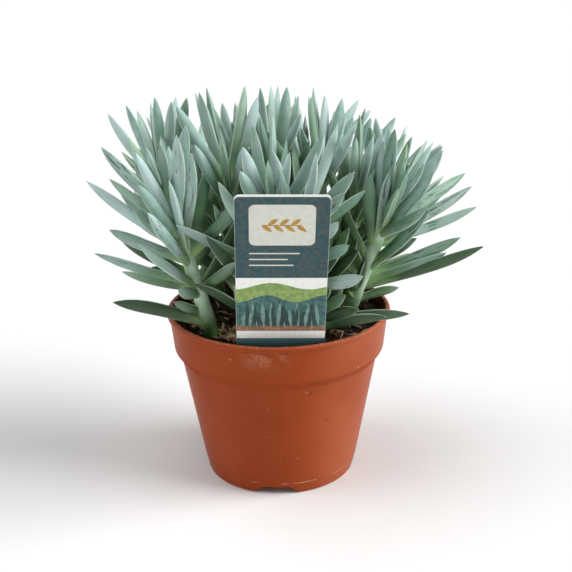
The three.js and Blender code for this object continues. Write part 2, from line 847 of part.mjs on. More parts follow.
// The soil stands a little in from the pot's wall, so that its corners clear the wall's flat sides
function makeSoil() {
  const inset = potWall + soilInset;
  const shelf = potHeight - bandDepth - ledgeDepth;
  const bandSlope = (bandTopRadius - bandFootRadius) / (bandDepth - rimDepth);
  const edgeHeight = soilTop - soilBumpHeight;
  const topRadius = bandFootRadius - inset + bandSlope * (edgeHeight - potHeight + bandDepth);
  const profile = [
    [0, potWall + meetingGap],
    [baseRadius - inset, potWall + meetingGap],
    [bodyFootRadius - inset, footHeight + innerRise],
    [bodyTopRadius - inset, shelf + innerRise],
    [bandFootRadius - inset, potHeight - bandDepth + innerRise],
    [topRadius, edgeHeight],
  ];
  for (let ring = soilRings - 1; ring >= 0; ring -= 1) {
    profile.push([((topRadius - soilFlat) * ring) / (soilRings - 1), soilTop]);
  }
  const geometry = turned(profile, soilSides);
  const position = geometry.attributes.position;
  for (let i = 0; i < position.count; i += 1) {
    if (position.getZ(i) > soilTop - 0.01) {
      position.setZ(i, soilTop + soilBump(position.getX(i), position.getY(i)));
    }
  }
  let soil = solidFrom(geometry);
  for (const roof of channels(potWall + meetingGap, channelStart - potWall - meetingGap, rimRadius)) {
    soil = soil.subtract(roof);
  }
  const holeRadius = stemFootRadius + stemHoleGap;
  const holeDepth = stemDepthInSoil + stemHoleGap;
  for (const { foot } of stemLines) {
    const hole = uprightPrism(holeRadius, holeDepth + cutAbove, stemSides, foot.x, foot.y, soilTop - holeDepth);
    soil = soil.subtract(solidFrom(hole));
  }
  const slot = leaningPlate(stickOutline(slotGap), labelThickness + 2 * slotGap);
  return soil.subtract(solidFrom(slot));
}

// Materials, with the colours of the photograph
const terracottaPlastic = new THREE.MeshStandardMaterial({ color: 0x9c4426, roughness: 0.42, metalness: 0 });
const darkPeat = new THREE.MeshStandardMaterial({ color: 0x2a1e16, roughness: 1, metalness: 0 });
const tealCard = new THREE.MeshStandardMaterial({ color: 0x35596b, roughness: 0.5, metalness: 0 });
const bloomedLeaf = new THREE.MeshStandardMaterial({ color: 0x7e9a92, roughness: 0.7, metalness: 0 });

// The whole object
const leaves = stems.flatMap((stem, i) => leavesOf(stem, stemLines[i], i));
partLeaves(leaves);
narrowLeaves(leaves);

const group = new THREE.Group();
group.add(meshFrom(makePot(), 'pot', terracottaPlastic));
group.add(meshFrom(makeSoil(), 'soil', darkPeat));
group.add(meshFrom(solidFrom(leaningPlate(labelOutline(0), labelThickness)), 'plant_label', tealCard));
stems.forEach((stem, i) => {
  const own = leaves.filter((leaf) => leaf.kept && leaf.stemIndex === i);
  group.add(meshFrom(makeLeafyStem(stemLines[i], own), stem.name, bloomedLeaf));
});

export default group;
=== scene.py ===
"""Blue chalksticks in a plastic nursery pot, with a card label at the front.

Sizes are in millimetres, in the frame of the CAD model, and become metres where a mesh is made. The leaves
grow by the rule of the CAD model, from the same draws, so each fine leaf lies where its plain one lies.
"""

import math

import bmesh
import bpy
import numpy as np
from mathutils import Matrix, Vector, noise


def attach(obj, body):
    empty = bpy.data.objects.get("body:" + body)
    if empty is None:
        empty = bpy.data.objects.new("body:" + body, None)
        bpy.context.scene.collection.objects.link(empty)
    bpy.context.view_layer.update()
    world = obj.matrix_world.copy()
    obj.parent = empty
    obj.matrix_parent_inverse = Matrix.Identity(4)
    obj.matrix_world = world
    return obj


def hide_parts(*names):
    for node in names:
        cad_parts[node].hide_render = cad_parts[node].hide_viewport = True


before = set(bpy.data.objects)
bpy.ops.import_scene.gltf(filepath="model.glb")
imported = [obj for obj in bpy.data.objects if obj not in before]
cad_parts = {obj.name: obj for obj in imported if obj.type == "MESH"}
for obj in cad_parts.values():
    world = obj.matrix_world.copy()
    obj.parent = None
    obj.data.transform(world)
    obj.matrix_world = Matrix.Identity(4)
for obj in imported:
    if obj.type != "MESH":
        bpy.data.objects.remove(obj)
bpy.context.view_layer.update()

MM = 0.001

# Pot
POT_HEIGHT = 100
RIM_RADIUS = 65
RIM_DEPTH = 3
RIM_SLOPE = 0.8
RIM_ROUND = 0.8
BAND_TOP_RADIUS = 63.5
BAND_FOOT_RADIUS = 61.4
BAND_DEPTH = 22.7
LEDGE_DEPTH = 4.4
BAND_FOOT = POT_HEIGHT - BAND_DEPTH
LEDGE_FOOT = BAND_FOOT - LEDGE_DEPTH
BODY_TOP_RADIUS = 57.7
BODY_FOOT_RADIUS = 45.6
FOOT_RADIUS = 45.2
FOOT_HEIGHT = 7.4
FOOT_STEP = 0.5
BASE_RADIUS = 44
POT_WALL = 1.2
INNER_RISE = 0.5
POT_SIDES = 180
CORNER_STEPS = 5
CORNER_ROUND = 1.1
LARGEST_CUT = 0.45
SHARP_EDGE = math.radians(32)

# Channels under the base, with a drain hole in each
CHANNEL_COUNT = 4
CHANNEL_WIDTH = 15
CHANNEL_FLARE = 8.3
CHANNEL_HEIGHT = 4.7
CHANNEL_START = 22
CHANNEL_TURN = math.radians(-94)
DRAIN_HOLE_RADIUS = 4
DRAIN_HOLE_REACH = 31
DRAIN_HOLE_SIDES = 32
CUT_BELOW = 1
CUT_ABOVE = 10

# Soil
SOIL_TOP = 93.5
SOIL_BUMP_HEIGHT = 1.3
SOIL_SIDES = 150
SOIL_RINGS = 52
SOIL_GAP = 0.5
MEETING_GAP = 0.3
FINE_INSET = 0.2
SHOULDER_HEIGHT = 1

# Label
LABEL_WIDTH = 47.3
LABEL_HEIGHT = 100.5
LABEL_THICKNESS = 0.7
LABEL_CORNER = 2.6
LABEL_FOOT = Vector((0.7, -52.5, 95.4))
LABEL_LEAN = math.radians(20)
LABEL_ROLL = math.radians(1.3)
STICK_WIDTH = 11
STICK_LENGTH = 38
STICK_POINT = 9

# Stems and leaves
STEM_FOOT_RADIUS = 4.6
STEM_TOP_RADIUS = 3.6
STEM_DEPTH_IN_SOIL = 24
STEM_START = SOIL_TOP + 3.5
STEM_BEND = 0.45
BUD_LENGTH = 6
LOWEST_LEAF = 0.07
LEAF_WIDTH = 7.2
LEAF_THICKNESS = 4.5
LEAF_BOW = 0.06
ARCHED_BELOW = 0.13
LEAF_BASE_SHARE = 0.55
LEAF_BASE_THICKNESS = 0.6
LEAF_WIDEST = 0.52
LEAF_TIP_CURVE = 2.6
YOUNG_LENGTH = 33
GROWN_LENGTH = 54
LOW_LENGTH = 46
GROWN_SHARE = 0.22
FADING_SHARE = 0.75
SHORTEST_WIDTH = 0.75
FULL_WIDTH_LENGTH = 50
GOLDEN_ANGLE = math.radians(137.508)
LEAN_AT_TOP = 13
LEAN_AT_FOOT = 54
LEAN_POWER = 0.7
SPACING_POWER = 1.2
UPWARD_TURN = 0.12

# How far a leaf's own draws take it from the rule: its turn, lean in degrees, length and twist, and its size
TURN_SPREAD = 0.2
LEAN_SPREAD = 6
LENGTH_SPREAD = 4
TWIST_SPREAD = 0.5
LEAF_SIZES = (0.92, 1.06)

# Parting of leaves that would cross
LEAF_PIECES = 5
TRUNK_PIECES = 4
LEAF_GAP = 0.45
PARTING_ROUNDS = 70
NARROWEST_LEAF = 0.72
SEEN_EASE = 0.01
FOOT_WEIGHT = 60
PUSH_SHARE = 0.6
LONGEST_PUSH = 3
LEAST_LEVER = 0.35
RIM_INSIDE = 54

# Fine bodies
LEAF_RINGS = 20
LEAF_SIDES = 12
STEM_RINGS = 26
STEM_SIDES = 14

# Each stem: its foot on the soil, its top, its number of leaves, and the leaves whose tips show at the front,
# each with its share of the way up the stem and the place of its tip
STEMS = {
    "front_left": ((-38, -30), (-58, -42, 180), 33, [
        (0.62, -100, -37, 186), (0.75, -88, -37, 187), (0.83, -91, -37, 204), (0.74, -81, -34, 193),
        (0.70, -69, -67, 191), (0.79, -70, -61, 206), (0.82, -68, -33, 203), (0.59, -55, -60, 189),
        (0.66, -43, -50, 203), (0.56, -34, -24, 191), (0.85, -47, -31, 207), (0.90, -56, -34, 203),
        (0.96, -62, -1, 202), (0.53, -90, -37, 159), (0.37, -99, -37, 146), (0.32, -88, -16, 128),
        (0.05, -89, -49, 122), (0.58, -74, -56, 177), (0.47, -26, 9, 161), (0.31, -22, -56, 146),
        (0.14, -57, -40, 118), (0.28, -53, -54, 130), (0.20, -22, -60, 113),
    ]),
    "front_centre": ((-8, -34), (-2, -45, 163), 22, [
        (1, -12, -35, 214), (1, -18, -70, 198), (1, -4, -65, 202), (1, 7, -61, 205),
        (0.63, -53, -50, 166), (1, -16, -66, 209), (1, -1, -34, 219), (1, 6, -36, 206),
        (1, 24, -62, 214),
    ]),
    "front_right": ((20, -32), (13, -45, 163), 24, [
        (1, 20, -72, 207), (1, 33, -36, 214), (1, 30, -7, 200), (1, 39, -68, 196),
        (0.89, 47, -40, 179), (0.66, 37, -68, 158), (0.96, 34, -71, 186), (0.77, 31, -67, 170),
        (0.12, 28, -48, 131), (1, 9, -3, 200), (0.05, 70, -56, 115), (0.00, 57, -59, 115),
        (0.07, 43, -51, 116), (0.17, 36, -50, 124),
    ]),
    "right": ((41, -4), (64, -28, 170), 33, [
        (0.69, 60, -42, 191), (0.59, 50, -34, 186), (0.89, 87, 9, 194), (0.89, 85, -20, 200),
        (0.82, 87, -40, 200), (0.70, 82, -45, 191), (0.71, 95, 6, 175), (0.78, 106, 0, 178),
        (0.66, 104, -35, 179), (0.62, 113, -5, 159), (0.40, 81, -40, 168), (0.33, 104, -8, 142),
        (0.29, 78, 14, 125), (0.28, 96, -12, 134), (0.24, 117, -16, 136), (0.10, 69, -5, 114),
        (0.47, 29, -25, 189), (0.18, 49, -23, 136), (0.21, 41, -19, 121), (0.95, 85, 22, 189),
    ]),
    "left": ((-44, 4), (-65, 4, 174), 23, [
        (1, -77, 10, 214), (1, -86, 32, 213), (1, -93, 7, 213), (1, -67, 12, 221),
        (1, -72, 34, 214), (1, -58, -7, 222), (1, -56, 24, 219), (1, -49, 14, 220),
        (0.91, -91, 36, 185), (0.88, -98, 27, 182),
    ]),
    "centre_left": ((-20, -10), (-27, -12, 177), 24, [
        (0.84, -47, -41, 204), (1, -52, -25, 223), (1, -41, -4, 226), (1, -38, 13, 226),
        (1, -44, 9, 224), (0.77, -29, -29, 211), (0.89, -28, -36, 206), (1, -16, -3, 229),
        (1, -21, 19, 215), (1, -9, -4, 223), (0.87, -17, -38, 203), (0.95, -43, 11, 219),
    ]),
    "centre": ((1, 0), (-2, 2, 181), 23, [
        (1, -8, 9, 226), (1, -2, 32, 223), (1, 2, 43, 221), (1, 7, 9, 226),
        (0.99, 15, -18, 216), (0.93, -8, -25, 217), (1, 14, 32, 217),
    ]),
    "centre_right": ((21, -8), (25, -8, 178), 23, [
        (1, 22, 25, 223), (1, 20, 39, 215), (1, 22, -12, 224), (1, 28, 15, 220),
        (1, 28, 0, 222), (1, 37, -1, 221), (1, 30, -34, 220), (1, 43, -3, 211),
        (0.95, 14, -1, 205), (0.97, 37, -49, 215),
    ]),
    "right_middle": ((33, 14), (47, -4, 170), 23, [
        (0.85, 36, -19, 205), (0.82, 44, -30, 204), (0.90, 48, 6, 202), (1, 47, 4, 211),
        (0.91, 52, -25, 205),
    ]),
    "right_back": ((41, 25), (66, 20, 166), 21, [
        (1, 58, 28, 204), (0.96, 53, 3, 204), (0.97, 66, 27, 199), (0.98, 80, 59, 193),
        (0.89, 57, -3, 189), (0.87, 72, -6, 190), (0.88, 89, 56, 181),
    ]),
    "back_left": ((-36, 32), (-56, 52, 168), 20, []),
    "back_centre_left": ((-14, 26), (-22, 38, 176), 20, []),
    "back_centre_right": ((14, 30), (20, 42, 174), 20, [(0.99, 61, 78, 199), (0.99, 52, 75, 206)]),
    "back_right": ((29, 39), (46, 66, 164), 20, []),
    "back": ((-4, 47), (-8, 76, 164), 20, []),
}

# Seeded draws


class Draws:
    """A small random generator that gives the same draws on every run."""

    modulus = 2147483647
    factor = 48271

    def __init__(self, state):
        self.state = state

    def between(self, low, high):
        self.state = self.state * self.factor % self.modulus
        return low + (high - low) * self.state / self.modulus

    def around(self, spread):
        return self.between(-spread, spread)


# Vectors


UP = np.array([0.0, 0.0, 1.0])


def dots(a, b):
    return np.einsum("...i,...i->...", a, b)


def lengths(a):
    return np.sqrt(dots(a, a))


def unit(a):
    return a / lengths(a)[..., None]


# The label's place


def label_ways():
    """The ways across, up and out of the front of the leaning and slightly turned card."""
    upright = Vector((0, -math.sin(LABEL_LEAN), math.cos(LABEL_LEAN)))
    front = Vector((0, -math.cos(LABEL_LEAN), -math.sin(LABEL_LEAN)))
    level = Vector((1, 0, 0))
    across = level * math.cos(LABEL_ROLL) - upright * math.sin(LABEL_ROLL)
    up = upright * math.cos(LABEL_ROLL) + level * math.sin(LABEL_ROLL)
    return across, up, front


# Lines of the stems


def stem_line(foot, top):
    start = np.array([foot[0], foot[1], STEM_START], float)
    end = np.array(top, float)
    bend = start + (end - start) * STEM_BEND
    bend[2] = (start[2] + end[2]) / 2
    return start, bend, end


def stem_point(line, t):
    start, bend, end = line
    return start * (1 - t) ** 2 + bend * (2 * t * (1 - t)) + end * t * t


def stem_direction(line, t):
    start, bend, end = line
    return unit((bend - start) * (1 - t) + (end - bend) * t)


def stem_radius(t):
    return STEM_FOOT_RADIUS + (STEM_TOP_RADIUS - STEM_FOOT_RADIUS) * t


def across_stem(direction):
    first = unit(np.cross([0.0, 1.0, 0.0], direction))
    return first, np.cross(direction, first)


# Leaves by the rule: the golden angle from one to the next, close together and upright at the stem's top,
# wider apart and more level towards its foot


def rule_length(share):
    grown = min(share / GROWN_SHARE, 1)
    fading = max((share - FADING_SHARE) / (1 - FADING_SHARE), 0)
    return YOUNG_LENGTH + (GROWN_LENGTH - YOUNG_LENGTH) * grown - (GROWN_LENGTH - LOW_LENGTH) * fading


def rule_leaves(stem_index, line, count, draws):
    leaves = []
    turn = draws.between(0, 2 * math.pi)
    for i in range(count):
        share = i / (count - 1)
        t = 1 - (1 - LOWEST_LEAF) * share**SPACING_POWER
        angle = turn + i * GOLDEN_ANGLE + draws.around(TURN_SPREAD)
        lean = LEAN_AT_TOP + (LEAN_AT_FOOT - LEAN_AT_TOP) * share**LEAN_POWER + draws.around(LEAN_SPREAD)
        length = rule_length(share) + draws.around(LENGTH_SPREAD)
        twist = draws.around(TWIST_SPREAD)
        size = draws.between(*LEAF_SIZES)
        grow = stem_direction(line, t)
        first, second = across_stem(grow)
        outward = first * math.cos(angle) + second * math.sin(angle)
        direction = grow * math.cos(math.radians(lean)) + outward * math.sin(math.radians(lean))
        direction[2] += UPWARD_TURN
        foot = stem_point(line, t)
        leaves.append({
            "stem": stem_index, "t": t, "grow": grow, "outward": outward, "foot": foot,
            "tip": foot + unit(direction) * length, "length": length, "twist": twist, "size": size,
            "ease": 1.0, "seen": False,
        })
    return leaves


def take_seen_tips(line, leaves, seen_tips):
    """Each tip seen at the front goes to the free leaf of its stem that suits it best."""
    for share, *place in seen_tips:
        tip = np.array(place, float)
        free = [leaf for leaf in leaves if not leaf["seen"]]
        best = min(free, key=lambda leaf: lengths(leaf["tip"] - tip) + FOOT_WEIGHT * abs(leaf["t"] - share))
        foot = stem_point(line, share)
        grow = stem_direction(line, share)
        chord = tip - foot
        best.update(
            t=share, foot=foot, grow=grow, tip=tip, length=float(lengths(chord)), ease=SEEN_EASE, seen=True,
            outward=unit(chord - grow * dots(chord, grow)),
        )


def grow_leaves(lines):
    """All leaves as one dict of arrays."""
    draws = Draws(20517)
    rows = []
    for index, (line, (_, _, count, seen_tips)) in enumerate(zip(lines, STEMS.values())):
        leaves = rule_leaves(index, line, count, draws)
        take_seen_tips(line, leaves, seen_tips)
        rows += leaves
    return {key: np.array([row[key] for row in rows]) for key in rows[0]}


# The form of a leaf: a bowed line, and half a width and half a thickness along it


def shape_leaves(leaves):
    chord = leaves["tip"] - leaves["foot"]
    along = unit(chord)
    hint = leaves["grow"] - 0.5 * leaves["outward"]
    wide = unit(hint - along * dots(hint, along)[:, None])
    bow = np.where(leaves["t"] < ARCHED_BELOW, -LEAF_BOW, LEAF_BOW)
    leaves["middle"] = leaves["foot"] + 0.5 * chord - wide * (bow * leaves["length"])[:, None]
    side = np.cross(along, wide)
    twist = leaves["twist"][:, None]
    leaves["wide"] = wide * np.cos(twist) + side * np.sin(twist)
    leaves["flat"] = np.cross(along, leaves["wide"])
    s = np.linspace(0, 1, LEAF_PIECES + 1)
    leaves["points"] = leaf_points(leaves["foot"], leaves["middle"], leaves["tip"], s)


def leaf_points(foot, middle, tip, s):
    s = s[:, None]
    return foot[:, None] * (1 - s) ** 2 + middle[:, None] * (2 * s * (1 - s)) + tip[:, None] * s * s


def leaf_share(s, base_share):
    rising = base_share + (1 - base_share) * np.sin(math.pi / 2 * np.minimum(s / LEAF_WIDEST, 1))
    falling = 1 - (np.maximum(s - LEAF_WIDEST, 0) / (1 - LEAF_WIDEST)) ** LEAF_TIP_CURVE
    return np.where(s < LEAF_WIDEST, rising, falling)


def half_width(leaves, i, s):
    shortness = SHORTEST_WIDTH + (1 - SHORTEST_WIDTH) * np.minimum(1, leaves["length"][i] / FULL_WIDTH_LENGTH)
    return LEAF_WIDTH / 2 * shortness * leaves["size"][i] * leaf_share(s, LEAF_BASE_SHARE)


def half_thickness(leaves, i, s):
    return LEAF_THICKNESS / 2 * leaves["size"][i] * leaf_share(s, LEAF_BASE_THICKNESS)


def reach(leaves, i, s, direction):
    """How far leaf i reaches from its line at s in the direction given."""
    across = half_width(leaves, i, s) * dots(direction, leaves["wide"][i])
    through = half_thickness(leaves, i, s) * dots(direction, leaves["flat"][i])
    return np.hypot(across, through)


# Parting: in each round, leaves that are too near push each other's tips apart, at an unchanged length


def nearest(a0, a1, b0, b1):
    """Of two pieces of line: the shares where they are nearest, their distance, and the way between them."""
    first = a1 - a0
    second = b1 - b0
    between = a0 - b0
    a = dots(first, first)
    e = dots(second, second)
    b = dots(first, second)
    c = dots(first, between)
    f = dots(second, between)
    bottom = a * e - b * b
    s = np.where(bottom > 1e-9, np.clip((b * f - c * e) / np.maximum(bottom, 1e-9), 0, 1), 0)
    t = (b * s + f) / e
    s = np.where(t < 0, np.clip(-c / a, 0, 1), np.where(t > 1, np.clip((b - c) / a, 0, 1), s))
    t = np.clip(t, 0, 1)
    apart = between + first * s[..., None] - second * t[..., None]
    distance = lengths(apart)
    return s, t, distance, apart / np.maximum(distance, 1e-6)[..., None]


def deepest(values, excess):
    """Of each row's grid of pieces, the entry with the greatest excess."""
    rows = np.arange(len(excess))
    best = excess.reshape(len(excess), -1).argmax(axis=1)
    return [value.reshape(len(excess), -1, *value.shape[3:])[rows, best] for value in values]


def close_pairs(leaves):
    """Pairs of leaves whose boxes meet, first the lower index."""
    margin = LEAF_WIDTH / 2 + LEAF_GAP
    low = leaves["points"].min(axis=1) - margin
    high = leaves["points"].max(axis=1) + margin
    meet = ((low[:, None] < high[None]) & (low[None] < high[:, None])).all(axis=2)
    return np.nonzero(np.triu(meet, 1))


def crossings(leaves, i, j):
    """The deepest crossing of each pair: excess, shares, way apart, the reach of both and the distance."""
    one = leaves["points"][i]
    other = leaves["points"][j]
    s, t, distance, direction = nearest(
        one[:, :-1, None], one[:, 1:, None], other[:, None, :-1], other[:, None, 1:])
    pieces = np.arange(LEAF_PIECES)
    s = (pieces[:, None] + s) / LEAF_PIECES
    t = (pieces + t) / LEAF_PIECES
    i = i[:, None, None]
    j = j[:, None, None]
    bodies = reach(leaves, i, s, direction) + reach(leaves, j, t, direction)
    same = leaves["stem"][i] == leaves["stem"][j]
    excess = bodies + np.where(same, 0, LEAF_GAP) - distance
    at_foot = (pieces[:, None] < 1) | (pieces < 1)
    excess = np.where(same & at_foot, -np.inf, excess)
    return deepest([excess, s, t, direction, bodies, distance], excess)


def trunk_crossings(leaves, trunks):
    """For each leaf and each other stem: excess, share, way apart, the leaf's reach and the room for it."""
    points = leaves["points"]
    found = []
    for k, trunk in enumerate(trunks):
        s, t, distance, direction = nearest(
            points[:, :-1, None], points[:, 1:, None], trunk[None, None, :-1], trunk[None, None, 1:])
        s = (np.arange(LEAF_PIECES)[:, None] + s) / LEAF_PIECES
        fixed = stem_radius((np.arange(TRUNK_PIECES) + t) / TRUNK_PIECES) + LEAF_GAP
        body = reach(leaves, np.arange(len(points))[:, None, None], s, direction)
        excess = np.where((leaves["stem"] == k)[:, None, None], -np.inf, body + fixed - distance)
        found.append(deepest([excess, s, direction, body, distance - fixed], excess))
    return found


def surface_crossings(leaves):
    """The same for the soil, the rim and the label, at each point of each leaf."""
    label_across, label_up, label_front = (np.array(way) for way in label_ways())
    label_back = -label_front
    index = np.arange(len(leaves["points"]))
    found = []
    for i in range(1, LEAF_PIECES + 1):
        s = np.full(len(index), i / LEAF_PIECES)
        point = leaves["points"][:, i]
        inside = np.hypot(point[:, 0], point[:, 1]) < RIM_INSIDE
        above_ground = point[:, 2] - np.where(inside, SOIL_TOP + SOIL_BUMP_HEIGHT, POT_HEIGHT) - LEAF_GAP
        from_label = point - np.array(LABEL_FOOT)
        beside = np.abs(from_label @ label_across) - LABEL_WIDTH / 2 - LEAF_WIDTH / 2 >= 0
        above = from_label @ label_up >= LABEL_HEIGHT + LEAF_WIDTH / 2
        behind_label = from_label @ label_back - LABEL_THICKNESS / 2 - LEAF_GAP
        for way, room, clear in ((UP, above_ground, False), (label_back, behind_label, beside | above)):
            ways = np.tile(way, (len(index), 1))
            body = reach(leaves, index, s, ways)
            found.append([np.where(clear, -np.inf, body - room), s, ways, body, room])
    return found


def part_leaves(leaves, trunks):
    for _ in range(PARTING_ROUNDS):
        shape_leaves(leaves)
        pushes = np.zeros_like(leaves["tip"])
        i, j = close_pairs(leaves)
        free = (leaves["stem"][i] != leaves["stem"][j]) | ~(leaves["seen"][i] & leaves["seen"][j])
        i = i[free]
        j = j[free]
        excess, s, t, direction, _, _ = crossings(leaves, i, j)
        share = leaves["ease"][i] / (leaves["ease"][i] + leaves["ease"][j])
        excess = np.maximum(excess, 0)
        np.add.at(pushes, i, direction * (excess * share / np.maximum(s, LEAST_LEVER))[:, None])
        np.add.at(pushes, j, direction * (-excess * (1 - share) / np.maximum(t, LEAST_LEVER))[:, None])
        for excess, s, direction, _, _ in trunk_crossings(leaves, trunks) + surface_crossings(leaves):
            pushes += direction * (np.maximum(excess, 0) / np.maximum(s, LEAST_LEVER))[:, None]
        pushes *= PUSH_SHARE
        pushes *= np.minimum(1, LONGEST_PUSH / np.maximum(lengths(pushes), 1e-9))[:, None]
        chord = unit(leaves["tip"] + pushes - leaves["foot"])
        leaves["tip"] = leaves["foot"] + chord * leaves["length"][:, None]
    shape_leaves(leaves)


def narrow_leaves(leaves, trunks):
    """What still crosses is narrowed, and left out where it would become too narrow."""
    i, j = close_pairs(leaves)
    apart = leaves["stem"][i] != leaves["stem"][j]
    i = i[apart]
    j = j[apart]
    excess, _, _, _, bodies, distance = crossings(leaves, i, j)
    meetings = []
    for k in np.nonzero(excess > 0)[0]:
        loser = j[k] if leaves["ease"][i[k]] < leaves["ease"][j[k]] else i[k]
        meetings.append(((distance[k] - LEAF_GAP) / bodies[k], (i[k], j[k]), loser))
    for excess, _, _, body, room in surface_crossings(leaves) + trunk_crossings(leaves, trunks):
        for k in np.nonzero(excess > 0)[0]:
            meetings.append((room[k] / max(body[k], 1e-9), (k,), k))
    meetings.sort(key=lambda meeting: meeting[0])
    kept = np.ones(len(leaves["t"]), bool)
    for scale, pair, loser in meetings:
        if scale < NARROWEST_LEAF and all(kept[k] for k in pair):
            kept[loser] = False
    narrowing = np.ones(len(kept))
    for scale, pair, _ in meetings:
        if all(kept[k] for k in pair):
            for k in pair:
                narrowing[k] = min(narrowing[k], scale)
    leaves["size"] = leaves["size"] * narrowing
    leaves["kept"] = kept


# Meshes


def add_object(name, points, faces, materials, smooth=True, face_materials=None):
    """A mesh object from points in millimetres."""
    mesh = bpy.data.meshes.new(name)
    mesh.from_pydata((np.asarray(points, float) * MM).tolist(), [], faces)
    for material in materials:
        mesh.materials.append(material)
    mesh.polygons.foreach_set("use_smooth", [smooth] * len(mesh.polygons))
    if face_materials is not None:
        mesh.polygons.foreach_set("material_index", face_materials)
    mesh.update()
    piece = bpy.data.objects.new(name, mesh)
    bpy.context.scene.collection.objects.link(piece)
    return piece


def add_values(piece, name, values):
    """A float value for each point, which the piece's material reads."""
    attribute = piece.data.attributes.new(name, "FLOAT", "POINT")
    attribute.data.foreach_set("value", np.asarray(values, np.float32))


def arc(cx, cy, radius, start, end, steps):
    angles = [math.radians(start + (end - start) * k / steps) for k in range(steps + 1)]
    return [(cx + radius * math.cos(a), cy + radius * math.sin(a)) for a in angles]


def ring_quads(low, sides):
    """The quads between the ring of points that starts at low and the next ring."""
    turns = [(low + k, low + (k + 1) % sides) for k in range(sides)]
    return [(one, other, other + sides, one + sides) for one, other in turns]


def prism_faces(count, start=0):
    """The ends and sides of a prism, from the points of its low end followed by those of its high end."""
    ends = [tuple(reversed(range(start, start + count))), tuple(range(start + count, start + 2 * count))]
    return ends + ring_quads(start, count)


def ring_faces(rings, sides, start):
    """Quads between rings, with a lid on the first ring and a fan from the last to the next point."""
    faces = [tuple(reversed(range(start, start + sides)))]
    for r in range(rings - 1):
        faces += ring_quads(start + r * sides, sides)
    last = start + (rings - 1) * sides
    faces += [(last + k, last + (k + 1) % sides, last + sides) for k in range(sides)]
    return faces


def place(piece, slot, *nodes):
    """Puts a finished piece on the one body and hides the CAD nodes that it stands for; the slot is not used.
    """
    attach(piece, "root")
    if nodes:
        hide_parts(*nodes)


# Nodes of materials and of the world


class Nodes:
    """The nodes of a material or of the world, whose values are numbers or outputs of other nodes."""

    def __init__(self, owner):
        owner.use_nodes = True
        self.tree = owner.node_tree

    def put(self, socket, value):
        if isinstance(value, bpy.types.NodeSocket):
            self.tree.links.new(value, socket)
        else:
            socket.default_value = value

    def node(self, kind, inputs, **settings):
        """The outputs of a new node."""
        node = self.tree.nodes.new("ShaderNode" + kind)
        for name, value in settings.items():
            setattr(node, name, value)
        for name, value in inputs.items():
            self.put(node.inputs[name], value)
        return node.outputs

    def math(self, operation, a, b=0.0, c=0.0):
        return self.node("Math", {0: a, 1: b, 2: c}, operation=operation)["Value"]

    def times(self, product, *factors):
        for factor in factors:
            product = self.math("MULTIPLY", product, factor)
        return product

    def apart(self, a, b):
        return self.math("ABSOLUTE", self.math("SUBTRACT", a, b))

    def ramp(self, value, at_nought, at_one):
        """A value that runs evenly from one number to another while the given value runs from 0 to 1."""
        return self.math("MULTIPLY_ADD", value, at_one - at_nought, at_nought)

    def stretch(self, value, low, high, to_low=0.0, to_high=1.0):
        """A value that runs softly from one number to another while the given value runs from low to high."""
        ends = {"Value": value, "From Min": low, "From Max": high, "To Min": to_low, "To Max": to_high}
        return self.node("MapRange", ends, interpolation_type="SMOOTHSTEP")["Result"]


class Skin(Nodes):
    """The nodes of one material: values that vary over the piece, and a colour painted coat by coat."""

    def __init__(self, name, roughness, specular):
        self.material = bpy.data.materials.new(name)
        super().__init__(self.material)
        self.shader = self.tree.nodes["Principled BSDF"]
        self.shader.inputs["Roughness"].default_value = roughness
        self.shader.inputs["Specular IOR Level"].default_value = specular
        self.space = self.node("TexCoord", {})["Object"]
        self.skin = None

    def value_of(self, name):
        return self.node("Attribute", {}, attribute_name=name)["Fac"]

    def vector(self, x, y, z):
        return self.node("CombineXYZ", {"X": x, "Y": y, "Z": z})["Vector"]

    def noise(self, scale, detail=2.0, roughness=0.5, place=None):
        place = self.space if place is None else place
        inputs = {"Vector": place, "Scale": scale, "Detail": detail, "Roughness": roughness}
        return self.node("TexNoise", inputs)["Fac"]

    def mix(self, share, first, second):
        """Two colours mixed, each from another node or as screen values."""
        first, second = (colour(*given) if isinstance(given, tuple) else given for given in (first, second))
        return self.node("Mix", {"Factor": share, "A": first, "B": second}, data_type="RGBA")["Result"]

    def paint(self, where, paint, strength=1.0):
        """A coat over the skin, where the value given is high."""
        self.skin = self.mix(self.times(where, strength), self.skin, paint)

    def bump(self, height, strength, distance):
        inputs = {"Height": height, "Strength": strength, "Distance": distance}
        self.put(self.shader.inputs["Normal"], self.node("Bump", inputs)["Normal"])

    def finish(self, roughness=None):
        self.put(self.shader.inputs["Base Color"], self.skin)
        if roughness is not None:
            self.put(self.shader.inputs["Roughness"], roughness)
        return self.material


def colour(*screen):
    """A linear colour from screen values of 0 to 255."""
    return (*(((c / 255 + 0.055) / 1.055) ** 2.4 if c > 10 else c / 255 / 12.92 for c in screen), 1.0)


# What a leaf's material reads at each point: its share of the length, its place across and along the leaf,
# the face it lies on, the leaf's own draw, wear, greenness and youth, and how far out of the bush it lies
LEAF_VALUES = ("share", "across", "along", "face", "seed", "rub", "green", "young", "outer")


